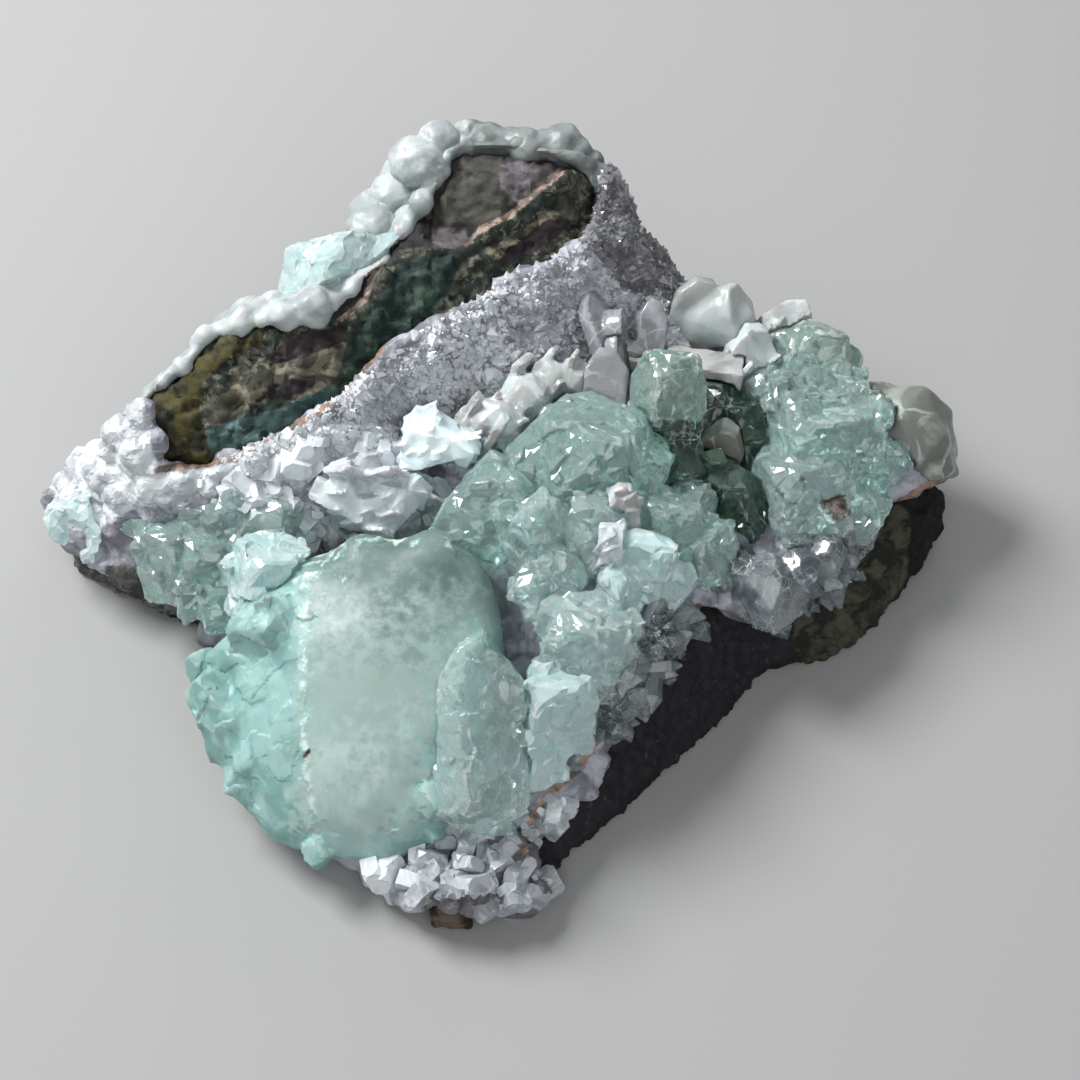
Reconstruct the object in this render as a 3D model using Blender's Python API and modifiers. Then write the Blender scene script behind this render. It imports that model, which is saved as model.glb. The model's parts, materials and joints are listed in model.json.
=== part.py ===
"""A hand specimen of green apophyllite: pale green crystals and cream stilbite on a lining of
lavender chalcedony, on a broken piece of dark basalt.

Lengths are in millimetres, because crystals are measured so. The empty that carries all the pieces
brings them to metres. A place is given as it is seen in the reference view, which looks down on the
specimen from the front: how far right of the middle of the view, how far above it, and how high
over the table. spot() turns that into a point.
"""

import math
import random

import bmesh
import bpy
import numpy
from mathutils import Matrix, Vector, noise

# Driving dimensions, in millimetres and degrees
METRES_PER_MM = 0.001
GAP = 0.3  # clearance that each piece keeps to its neighbours
ROCK_GAP = 0.4  # the same on the uneven rock
SEAM = 0.6  # between the lining and the crust
SIGHT_TILT = math.radians(55)  # the reference view looks down from here
SIGHT_DISTANCE = 320.0
SIGHT_AIM = Vector((4.0, 0.4, 15.0))  # the point in the middle of the reference view
LINING = 3.4  # thickness of the chalcedony that lines the hollow
CRUST = 1.5  # thickness of the chalcedony on the far side
ROUGH = 0.9  # how far the broken faces wander in and out
COARSE_WAVE = 0.11  # waves for each millimetre
FINE_WAVE = 0.33
FINE_SHARE = 0.6  # height of the fine waves beside the coarse ones
BASALT_CELL = 2.0
BASALT_TRIANGLES = 900
LINING_TRIANGLES = 750
CRUST_TRIANGLES = 600
CRUST_HEM = 10.0  # the crust ends this high above the ground, behind the middle
CRUST_SLANT = 0.1  # and this much lower for each millimetre to the right
FOOT = 1.0  # what is broken off below, which leaves a flat foot
ROCK_TOP = 60.0  # higher than anything on the specimen
ROCK_BOTTOM = -10.0  # and lower
GROUND = 400.0  # side of the block that cuts the foot
MITRE = 0.35  # how blunt a grown corner stays
SLIVER = 0.05  # square millimetres under which a face says nothing about its direction
SAME_POINT = 0.02
SAME_FACE = math.radians(3)  # faces that differ less than this are made one
CHUNK_FLATNESS = math.radians(4)  # the same on a chunk or a lump
SLICE_FLATNESS = math.radians(1)  # and on a crystal
PYRAMID_SLOPE = 0.95  # how steep the faces are that cut an apophyllite crystal's corners
ROOF_RIDGE = 0.2  # half the width of a blade's blunt end, for each millimetre of its width
LUMP_POINTS = 18
LUMP_WAVE = 4.4
GOLDEN_ANGLE = math.pi * (3 - math.sqrt(5))
SHEAF_REACH = 0.3  # how far from the root a blade's middle lies, for each millimetre of its length
SHEAF_STAGGER = 14  # every other blade turns this much further to the viewer
SHEAF_TWIST = 11  # each blade is spun this much from the last
DRUSE_WIDTHS = (2.8, 4)
DRUSE_LENGTHS = (5, 7)
DRUSE_ANGLES = (40, 140)
DRUSE_PITCHES = (20, 50)
DRUSE_TIP = 0.8

SIGHT_AHEAD = Vector((0, math.cos(SIGHT_TILT), -math.sin(SIGHT_TILT)))
SIGHT_UP = Vector((0, math.sin(SIGHT_TILT), math.cos(SIGHT_TILT)))
EYE = SIGHT_AIM - SIGHT_DISTANCE * SIGHT_AHEAD

COLOURS = {
    "basalt": ((0.075, 0.075, 0.06), 0.9),
    "chalcedony": ((0.62, 0.58, 0.62), 0.5),
    "stilbite": ((0.80, 0.76, 0.70), 0.4),
    "apophyllite": ((0.45, 0.70, 0.58), 0.1),
    "quartz": ((0.72, 0.70, 0.76), 0.1),
}


# Places and directions
def spot(right, up, height):
    """The point at this height that is seen this far right of and above the middle of the view."""
    ray = SIGHT_DISTANCE * SIGHT_AHEAD + up * SIGHT_UP + Vector((right, 0, 0))
    return EYE + ray * ((height - EYE.z) / ray.z)


def pointing(angle, pitch):
    """A direction: its angle in the view, 90 being up, and how far it turns to the viewer."""
    flat = Vector((math.cos(math.radians(angle)), 0, 0)) + SIGHT_UP * math.sin(math.radians(angle))
    return flat * math.cos(math.radians(pitch)) - SIGHT_AHEAD * math.sin(math.radians(pitch))


# Making, joining and cutting meshes
def face_out(bm):
    """Turns all the faces outwards."""
    bmesh.ops.recalc_face_normals(bm, faces=bm.faces)
    if bm.calc_volume(signed=True) < 0:
        bmesh.ops.reverse_faces(bm, faces=bm.faces)


def object_from(bm, name):
    """A new object that holds the mesh that was edited."""
    face_out(bm)
    mesh = bpy.data.meshes.new(name)
    bm.to_mesh(mesh)
    bm.free()
    obj = bpy.data.objects.new(name, mesh)
    bpy.context.scene.collection.objects.link(obj)
    return obj


def duplicate(obj):
    copy = obj.copy()
    copy.data = obj.data.copy()
    bpy.context.scene.collection.objects.link(copy)
    return copy


def bake(obj):
    """Makes the object's modifiers its mesh."""
    graph = bpy.context.evaluated_depsgraph_get()
    mesh = bpy.data.meshes.new_from_object(obj.evaluated_get(graph))
    obj.modifiers.clear()
    old = obj.data
    obj.data = mesh
    bpy.data.meshes.remove(old)
    return obj


def combine(obj, other, operation):
    """Joins another object to this one, cuts it out of it, or keeps what they share."""
    modifier = obj.modifiers.new(operation.title(), "BOOLEAN")
    modifier.operation = operation
    modifier.object = other
    modifier.solver = "EXACT"
    bake(obj)
    bpy.data.objects.remove(other)
    return obj


def union(parts):
    """One solid from several that overlap."""
    whole = parts[0]
    for part in parts[1:]:
        combine(whole, part, "UNION")
    return whole


def gather(parts):
    """One object that holds the shells of several, overlaps and all."""
    bm = bmesh.new()
    for part in parts:
        bm.from_mesh(part.data)
        bpy.data.objects.remove(part)
    return object_from(bm, "shells")


def box_of(obj):
    corners = [v.co for v in obj.data.vertices]
    return Vector(map(min, zip(*corners))), Vector(map(max, zip(*corners)))


def boxes_meet(first, second):
    (low_a, high_a), (low_b, high_b) = box_of(first), box_of(second)
    return all(low_a[k] < high_b[k] and low_b[k] < high_a[k] for k in range(3))


def loose_bodies(bm):
    """The sets of faces that hang together along their edges, smallest first."""
    left = set(bm.faces)
    bodies = []
    while left:
        todo = [left.pop()]
        body = list(todo)
        while todo:
            for edge in todo.pop().edges:
                for face in edge.link_faces:
                    if face in left:
                        left.discard(face)
                        body.append(face)
                        todo.append(face)
        bodies.append(body)
    return sorted(bodies, key=len)


def keep_largest(obj):
    """Drops the crumbs that a cut leaves beside the main body, and joins what is one flat face."""
    bm = bmesh.new()
    bm.from_mesh(obj.data)
    bmesh.ops.remove_doubles(bm, verts=bm.verts, dist=SAME_POINT)
    crumbs = [face for body in loose_bodies(bm)[:-1] for face in body]
    if crumbs:
        print(obj.name, "loses", len(crumbs), "of", len(bm.faces), "faces as crumbs")
    bmesh.ops.delete(bm, geom=crumbs, context="FACES")
    bmesh.ops.dissolve_limit(bm, angle_limit=SAME_FACE, verts=bm.verts, edges=bm.edges)
    bmesh.ops.triangulate(bm, faces=bm.faces)
    bm.to_mesh(obj.data)
    bm.free()
    return obj


def swollen(obj, gap=GAP):
    """A copy of a convex piece whose faces all stand further out by the gap."""
    copy = duplicate(obj)
    bm = bmesh.new()
    bm.from_mesh(copy.data)
    bm.normal_update()
    moves = []
    for vert in bm.verts:
        normals = numpy.array([face.normal for face in vert.link_faces if face.calc_area() > SLIVER])
        move = numpy.linalg.lstsq(normals, numpy.full(len(normals), gap), rcond=MITRE)[0]
        moves.append(Vector(move))
    for vert, move in zip(bm.verts, moves):
        vert.co += move
    wrap(bm, 0)
    bm.to_mesh(copy.data)
    bm.free()
    return copy


def remeshed(obj, cell):
    """The outer surface of the object, in even cells."""
    modifier = obj.modifiers.new("Even cells", "REMESH")
    modifier.mode = "VOXEL"
    modifier.voxel_size = cell
    modifier.adaptivity = 0
    return bake(obj)


def simplified(obj, triangles):
    modifier = obj.modifiers.new("Facets", "DECIMATE")
    modifier.ratio = min(1.0, triangles / (2 * len(obj.data.polygons)))
    modifier.use_collapse_triangulate = True
    return bake(obj)


def pushed(obj, distance_at):
    """Moves each point along its normal by what distance_at gives for it."""
    mesh = obj.data
    moved = [v.co + v.normal * distance_at(v.co) for v in mesh.vertices]
    for vert, place in zip(mesh.vertices, moved):
        vert.co = place
    mesh.update()
    return obj


# Shapes
def wrap(bm, flatness):
    """Leaves the convex skin of the points, with faces joined that differ less than this angle."""
    points = [vert.co.copy() for vert in bm.verts]
    bm.clear()
    for point in points:
        bm.verts.new(point)
    bmesh.ops.remove_doubles(bm, verts=bm.verts, dist=SAME_POINT)
    bmesh.ops.convex_hull(bm, input=bm.verts)
    inside = [vert for vert in bm.verts if not vert.link_faces]
    bmesh.ops.delete(bm, geom=inside, context="VERTS")
    bmesh.ops.dissolve_limit(bm, angle_limit=flatness, verts=bm.verts, edges=bm.edges)
    face_out(bm)


def hull(points):
    """The smallest convex chunk that holds the points."""
    bm = bmesh.new()
    for point in points:
        bm.verts.new(point)
    wrap(bm, CHUNK_FLATNESS)
    return object_from(bm, "chunk")


def prism(low_ring, high_ring):
    """A block between two rings of points."""
    bm = bmesh.new()
    low = [bm.verts.new(point) for point in low_ring]
    high = [bm.verts.new(point) for point in high_ring]
    bm.faces.new(low)
    bm.faces.new(high)
    for k in range(len(low)):
        bm.faces.new((low[k - 1], low[k], high[k], high[k - 1]))
    bmesh.ops.triangulate(bm, faces=bm.faces)
    return object_from(bm, "prism")


def slice_off(bm, normal, corner):
    """Cuts away what lies past a plane through the corner and closes the cut with a flat face."""
    geometry = bm.verts[:] + bm.edges[:] + bm.faces[:]
    bmesh.ops.bisect_plane(bm, geom=geometry, plane_co=corner, plane_no=normal, clear_outer=True)
    wrap(bm, SLICE_FLATNESS)


def cube(width, depth, length):
    bm = bmesh.new()
    bmesh.ops.create_cube(bm, size=1)
    bmesh.ops.scale(bm, verts=bm.verts, vec=(width, depth, length))
    return bm


def placed(bm, place, axis, spin):
    """Stands a shape along an axis at a place, spun around the axis."""
    turn = axis.to_track_quat("Z", "Y").to_matrix().to_4x4()
    bm.transform(Matrix.Translation(place) @ turn @ Matrix.Rotation(math.radians(spin), 4, "Z"))
    return object_from(bm, "crystal")


def apophyllite(right, up, height, width, length, angle=90, pitch=20, spin=0, tip=0.35, flat=1.0):
    """A four-sided crystal whose free corners are cut by pyramid faces.

    A tip of 0 leaves the corners, 1 brings the pyramid to a point.
    """
    depth = width * flat
    bm = cube(width, depth, length)
    summit = Vector((0, 0, length / 2))
    for side_x in (-1, 1):
        for side_y in (-1, 1):
            corner = Vector((side_x * width, side_y * depth, length)) / 2
            slope = Vector((side_x, side_y * width / depth, PYRAMID_SLOPE))
            slice_off(bm, slope, corner.lerp(summit, tip))
    return placed(bm, spot(right, up, height), pointing(angle, pitch), spin)


def blade(right, up, height, width, length, thickness, angle=90, pitch=20, spin=0, point=0.6):
    """A thin stilbite blade with a roof-shaped end."""
    bm = cube(width, thickness, length)
    for side in (-1, 1):
        slice_off(bm, Vector((side, 0, point)), Vector((side * width * ROOF_RIDGE, 0, length / 2)))
    return placed(bm, spot(right, up, height), pointing(angle, pitch), spin)


def lump(right, up, height, wide, tall, deep, seed=0, rough=0.12, angle=90):
    """A rounded lump with flats on it: its points spiral round from pole to pole."""
    bm = bmesh.new()
    for k in range(LUMP_POINTS):
        rise = 1 - 2 * (k + 0.5) / LUMP_POINTS
        turn = k * GOLDEN_ANGLE + seed
        round_it = math.sqrt(1 - rise * rise)
        place = Vector((round_it * math.cos(turn), round_it * math.sin(turn), rise)) / 2
        swell = noise.noise(place * LUMP_WAVE + Vector((seed, 7.0 * seed, 3)))
        bm.verts.new(place * (1 + rough * swell))
    bmesh.ops.scale(bm, verts=bm.verts, vec=(wide, deep, tall))
    wrap(bm, CHUNK_FLATNESS)
    return placed(bm, spot(right, up, height), pointing(angle, 0), 0)


def sheaf(right, up, height, width, length, thickness, angle, pitch, count, fan, spin=20):
    """Stilbite blades that spread from one root like a bow tie."""
    blades = []
    for k in range(count):
        share = k / (count - 1) - 0.5
        lean = angle + fan * share
        shift = pointing(lean, pitch) * length * SHEAF_REACH
        rise = pitch + SHEAF_STAGGER * (k % 2)
        turn = spin + SHEAF_TWIST * k
        item = blade(right, up, height, width, length, thickness, lean, rise, turn)
        item.data.transform(Matrix.Translation(shift))
        blades.append(item)
    return blades


# The apophyllite crystals
def apophyllite_great():
    """The great rounded crystal: a smooth milky face, a stepped flank on its left."""
    dome = hull([
        spot(-29, -3, 23), spot(-21.6, 0.6, 25.5), spot(-13, 0.2, 26.5), spot(-5, -2, 26),
        spot(-28.5, -12, 23), spot(-17, -10, 26), spot(-6, -10, 25),
        spot(-28.5, -24, 18.5), spot(-16.8, -20, 22), spot(-6, -20, 20),
        spot(-27.6, -33, 12.5), spot(-18, -33, 14), spot(-10, -33, 12),
        spot(-26, -38, 7), spot(-18, -39, 6.5), spot(-12.5, -37, 7),
        spot(-35, -11, 18.5), spot(-38.6, -14, 14), spot(-40.2, -20, 11.5), spot(-40, -24, 10),
        spot(-36.5, -31, 8), spot(-32.5, -36, 7), spot(-35, -20, 17), spot(-33, -29, 12.5),
        spot(-38, -16, 6), spot(-38.5, -24, 5), spot(-34, -33, 4), spot(-24, -38, 4),
        spot(-12, -36, 4), spot(-4, -20, 8), spot(-6, -4, 14), spot(-28, -2, 14), spot(-34, -9, 10),
    ])
    steps = [
        apophyllite(-36.4, -16, 13, 6.4, 8, 60, 35, 20, 0.3),
        apophyllite(-36.8, -22.6, 11, 6, 8, 100, 20, 35, 0.3),
        apophyllite(-34, -27.6, 9.5, 5.8, 7, 60, 30, 40, 0.35),
        apophyllite(-32.2, -11.4, 19, 7, 8, 120, 30, 15, 0.25),
        apophyllite(-21.4, -2, 24, 6, 7, 60, 40, 30, 0.3),
        apophyllite(-12.6, -1.6, 24.8, 6.4, 7, 100, 40, 20, 0.3),
        apophyllite(-26.8, -32.8, 8.4, 5.4, 6, 20, 30, 50, 0.35),
    ]
    return [dome] + steps


def apophyllite_twin():
    """The long glassy crystal that leans on the great one's right side."""
    return [
        apophyllite(-8.6, -22.4, 17.5, 10, 20, 96, -4, 38, 0.4, 0.85),
        apophyllite(-5.6, -19, 18, 7, 13, 80, 10, 20, 0.56),
        apophyllite(-6.4, -29.5, 12, 7, 10, 70, 10, 30, 0.4),
    ]


def apophyllite_dome():
    """The domed group in the middle, with a small pointed crystal on top."""
    return [
        apophyllite(5.8, 9.6, 23, 13.4, 12, 80, 30, 40, 0.45),
        apophyllite(0.6, 8.4, 22, 9, 9, 120, 20, 20, 0.56),
        apophyllite(11, 8, 21.6, 7.6, 9, 60, 30, 30, 0.4),
        apophyllite(3.2, 13, 23, 7, 7, 110, 10, 30, 0.6),
        apophyllite(6.2, 15, 24, 4, 7, 88, 5, 40, 0.9),
    ]


def apophyllite_left_clear():
    """The clear crystal left of the middle, with cream stilbite showing through it."""
    return [
        apophyllite(-5.8, 3.6, 21, 9, 12, 52, 15, 35, 0.45),
        apophyllite(-9.4, 0.8, 20.5, 6.4, 8, 60, 20, 20, 0.35),
    ]


def apophyllite_block_centre():
    return [
        apophyllite(-1, 1.2, 22.5, 7.4, 8.4, 100, 35, 20, 0.3),
        apophyllite(-1.4, 5.2, 23, 3.6, 5, 80, 30, 50, 0.4),
        apophyllite(-1, -5.2, 21.5, 4, 5, 60, 20, 30, 0.8),
        apophyllite(2.2, -3.6, 21.8, 4.4, 6, 110, 30, 20, 0.7),
    ]


def apophyllite_pale_centre():
    return [
        apophyllite(6.6, 2.2, 22.2, 8.2, 8, 70, 30, 25, 0.35),
        apophyllite(4.8, -1.2, 21.4, 4.6, 6, 95, 20, 10, 0.56),
    ]


def apophyllite_bright_blade():
    """A thin slab that catches the light, with small crystals beside it."""
    return [
        apophyllite(12.6, -3, 21.5, 6.4, 8, 75, 40, 15, 0.3, 0.55),
        apophyllite(9.2, -6.2, 20, 4, 6, 100, 30, 30, 0.6),
        apophyllite(16, -5.4, 18.5, 4, 6, 60, 30, 20, 0.6),
    ]


def apophyllite_cluster_right():
    """The small glinting crystals right of the middle."""
    return [
        apophyllite(15.6, 0.8, 20, 6.8, 8, 80, 30, 35, 0.4),
        apophyllite(20.2, -2, 17.6, 5.4, 8.6, 95, 20, 20, 0.45),
        apophyllite(13.2, 4.6, 20, 4.6, 6, 120, 30, 10, 0.56),
        apophyllite(18.2, 3.4, 18, 5, 7, 70, 20, 20, 0.6),
    ]


def apophyllite_front_dome():
    """The domed crystal at the front."""
    return [
        apophyllite(5.6, -12, 19.6, 8.8, 9, 70, 35, 25, 0.45),
        apophyllite(2.4, -9.8, 19.6, 4.6, 6.6, 110, 25, 35, 0.6),
        apophyllite(8.4, -14, 17.6, 5, 6.6, 50, 25, 20, 0.56),
    ]


def apophyllite_front_block():
    return [
        apophyllite(1.6, -20, 16.6, 8, 9.6, 84, 28, 32, 0.3),
        apophyllite(5.4, -18, 16, 4.4, 7, 60, 30, 20, 0.56),
        apophyllite(-0.6, -25.6, 13.4, 5.4, 7, 100, 20, 15, 0.4),
    ]


def apophyllite_tall():
    """The crystal that stands on a stem above the deep pocket."""
    return [
        apophyllite(15.4, 18, 26.5, 7, 9, 84, 8, 30, 0.45),
        apophyllite(16.4, 12.4, 22, 4.6, 11, 100, -15, 20, 0.3),
    ]


def apophyllite_deep():
    """Deep green crystals in the pocket behind the middle."""
    return [
        apophyllite(14.4, 9.4, 18, 6.4, 9, 95, 10, 30, 0.45),
        apophyllite(19.4, 6.2, 17, 7, 9, 70, 20, 15, 0.56),
        apophyllite(23.4, 4.4, 17, 6, 9, 110, 15, 35, 0.56),
        apophyllite(20.6, 14.6, 18, 6.4, 9, 80, 10, 20, 0.56),
        apophyllite(24.6, 12, 17.5, 5, 9, 100, 10, 30, 0.4),
    ]


def apophyllite_back_right():
    return [
        apophyllite(33, 22, 19.5, 6.6, 8, 70, 15, 30, 0.4),
        apophyllite(35.4, 20.6, 17.5, 5, 7, 60, 20, 20, 0.56),
        apophyllite(30, 22, 19, 4.6, 7, 100, 10, 40, 0.56),
    ]


def apophyllite_right_block():
    """The group of blocks at the right: a granular top, a broad face, a cracked lower face."""
    return [
        apophyllite(33.4, 12, 18.6, 12, 12, 84, 34, 30, 0.3),
        apophyllite(31.4, 5.4, 16.4, 10, 11, 95, 25, 15, 0.3),
        apophyllite(27, 16.8, 18.4, 5, 7, 100, 20, 20, 0.56),
        apophyllite(31.4, 17.8, 19, 5.4, 7, 80, 30, 40, 0.4),
        apophyllite(36, 17, 18, 5, 7, 60, 25, 25, 0.56),
        apophyllite(39.6, 13.2, 16, 6, 8, 70, 25, 30, 0.45),
        apophyllite(40.4, 8.4, 14, 6, 8, 50, 20, 20, 0.45),
        apophyllite(37.2, 3.2, 14, 7, 8, 60, 25, 35, 0.35),
    ]


def apophyllite_outer():
    """The crystal on the far side of the ridge."""
    return [
        apophyllite(-24.8, 29.4, 26.4, 10, 12, 100, -10, 30, 0.4),
        apophyllite(-28.6, 26.4, 25.6, 6.4, 8, 130, -10, 20, 0.4),
        apophyllite(-20.6, 32.2, 27.4, 6.4, 8, 80, -5, 30, 0.56),
    ]


def apophyllite_left_tip():
    return [
        apophyllite(-53.6, 2, 9.4, 8, 9.4, 120, 20, 25, 0.35),
        apophyllite(-51, 5.2, 12, 5.6, 7, 90, 20, 40, 0.4),
        apophyllite(-50.4, -0.2, 9.8, 6, 7, 60, 20, 30, 0.4),
    ]


def apophyllite_left_group():
    """The crystals along the left side, in front of the pale crust."""
    return [
        apophyllite(-43.4, -2, 13, 7.4, 9.4, 105, 20, 30, 0.35),
        apophyllite(-39.4, -4, 14, 6.8, 9.4, 80, 25, 20, 0.35),
        apophyllite(-39.8, 2.2, 16, 6.4, 9, 120, 15, 30, 0.56),
        apophyllite(-35.8, 3.2, 17.4, 6, 9, 90, 20, 15, 0.56),
        apophyllite(-32.4, 1.6, 17.6, 6, 8, 60, 20, 35, 0.56),
        apophyllite(-46.4, 1, 13, 5.4, 7.4, 130, 15, 20, 0.4),
        apophyllite(-38.4, -7.8, 12.8, 4.2, 5.6, 90, 30, 10, 0.3),
    ]


def apophyllite_left_block():
    return [
        apophyllite(-32.4, -5, 18.6, 8.4, 9.4, 80, 25, 35, 0.3),
        apophyllite(-36, -4.4, 16, 5, 7, 110, 20, 20, 0.4),
    ]


# The stilbite and other pale crystals
def stilbite_outer():
    """White rounded lumps on the far side of the ridge."""
    return [
        lump(-19.6, 38.2, 29, 8, 9, 9, 1),
        lump(-16, 42.6, 30.5, 8, 8.6, 9, 2),
        lump(-11.6, 46, 32, 8, 8, 9, 3),
        lump(-18.6, 34.4, 28, 6.4, 7, 8, 4),
        lump(-13.6, 40, 31, 7, 7, 8, 5),
    ]


def stilbite_middle():
    """Cream crystals behind the middle group."""
    return [
        lump(-5.6, 14, 21.5, 9, 7, 8, 11),
        lump(-1.6, 17.4, 22.6, 7, 6, 7, 12),
        lump(1.2, 19.4, 23.4, 4.6, 5.4, 5, 13),
        lump(4.4, 19.4, 23.6, 4.6, 5.4, 5, 14),
        lump(-9.2, 11.6, 21, 6, 5, 6, 15),
    ]


def stilbite_upright_blade():
    return [
        blade(7.8, 18.6, 24.6, 5.4, 9, 1.6, 86, 8, 10),
        blade(9.4, 20.4, 23.6, 4, 8, 1.6, 100, 0, 60),
    ]


def stilbite_slanted_blades():
    """Two translucent blades that lean above the middle group."""
    return [
        blade(7.2, 25.2, 25.2, 4.2, 9.4, 2, 110, 0, 35),
        blade(9.4, 23.6, 24.4, 3.4, 8.4, 2, 95, 0, 70),
        blade(13.2, 24.8, 23.8, 3.6, 8, 2, 85, 0, 20),
        lump(10.4, 22.4, 22.6, 7, 4, 5, 16),
    ]


def stilbite_bar():
    return [
        blade(15.4, 20.6, 21.4, 5, 18, 4, 172, 0, 20, 0.4),
        lump(10.6, 21.2, 21.6, 5, 4, 5, 17),
    ]


def stilbite_disc():
    """A rounded cream disc of blades at the back right."""
    return [
        lump(21, 26.6, 22, 11.4, 8.4, 6, 21, 0.08),
        blade(18.4, 27.4, 22.8, 6, 9, 2.4, 70, 20, 30),
        blade(23.6, 26.6, 22.2, 6, 9, 2.4, 110, 20, 30),
    ]


def stilbite_right_cluster():
    """The cream group beside the back right crystals."""
    return [
        blade(25, 21.6, 20, 6, 9, 4, 80, 20, 25),
        lump(24.6, 18.2, 19, 6.4, 6, 6, 22),
    ]


def stilbite_right_tip():
    """The pointed blade behind it."""
    return [blade(28.2, 25.4, 19.4, 4, 10, 3.4, 30, 5, 20)]


def stilbite_pocket():
    return [
        blade(21.6, 10.4, 18.6, 5.4, 8, 3.6, 70, 35, 30),
    ]


def stilbite_centre():
    """A cream crystal in front of the middle group."""
    return [blade(9.8, 3.4, 24.8, 4.2, 6.4, 3.4, 80, 40, 25)]


def stilbite_white():
    """The small white crystal below it."""
    return [blade(8.9, -0.4, 23.8, 3.6, 6, 3, 95, 40, 60)]


def stilbite_white_sheaf():
    """The bright white sheaf at the ridge foot."""
    return sheaf(-9.4, 11.4, 22.6, 4.2, 9, 2.6, 172, 8, 3, 44)


def stilbite_left_sheaf():
    """Sheaves at the left, behind the great crystal."""
    first = sheaf(-15.4, 6, 20.4, 4.2, 8.6, 2.6, 200, 12, 3, 60)
    second = sheaf(-21, 3.6, 19.6, 4.2, 8.6, 2.6, 120, 12, 3, 70)
    return first + second


def stilbite_right_end():
    """The rounded cream crystal at the far right end."""
    return [
        lump(43.8, 12.6, 14.4, 14.4, 13.4, 13, 31, 0.1),
        lump(40, 16, 15, 8, 7, 9, 32, 0.14),
        lump(46.6, 8.8, 12.4, 8, 7, 9, 33, 0.14),
    ]


def quartz_lower_right():
    """Clear crystals at the lower right, over the bare rock."""
    return [
        apophyllite(27.2, -5.8, 15.4, 6.4, 8, 100, 30, 30, 0.7),
        apophyllite(30.6, -4.4, 15, 5, 7, 70, 30, 20, 0.7),
        apophyllite(24.2, -4.4, 15.6, 4.4, 7, 110, 30, 40, 0.7),
        apophyllite(34, -2.6, 14.4, 4.4, 7, 70, 30, 20, 0.7),
    ]


def druse_crystals():
    """Small clear crystals on the lining at the front right and along the bottom edge."""
    rng = random.Random(8)
    row = [
        (15.5, -7.5, 15.5), (13.8, -11.2, 14.6), (12, -15, 13.6), (10.2, -18.4, 12.4), (8.6, -21.6, 11.2),
        (6.2, -24.8, 10), (4, -28, 9), (1.2, -31, 7.8),
    ]
    behind = [(10.4, -10.6, 16), (8.4, -17.6, 14), (5, -24, 11.4), (0.6, -28.6, 9.4)]
    bottom = [(-9, -39, 4.6), (-4.6, -38.6, 4.6)]
    crystals = []
    for right, up, height in row + behind + bottom:
        width = rng.uniform(*DRUSE_WIDTHS)
        length = rng.uniform(*DRUSE_LENGTHS)
        angle = rng.uniform(*DRUSE_ANGLES)
        pitch = rng.uniform(*DRUSE_PITCHES)
        spin = rng.uniform(0, 90)
        crystals.append(apophyllite(right, up, height, width, length, angle, pitch, spin, DRUSE_TIP))
    return crystals


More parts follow.
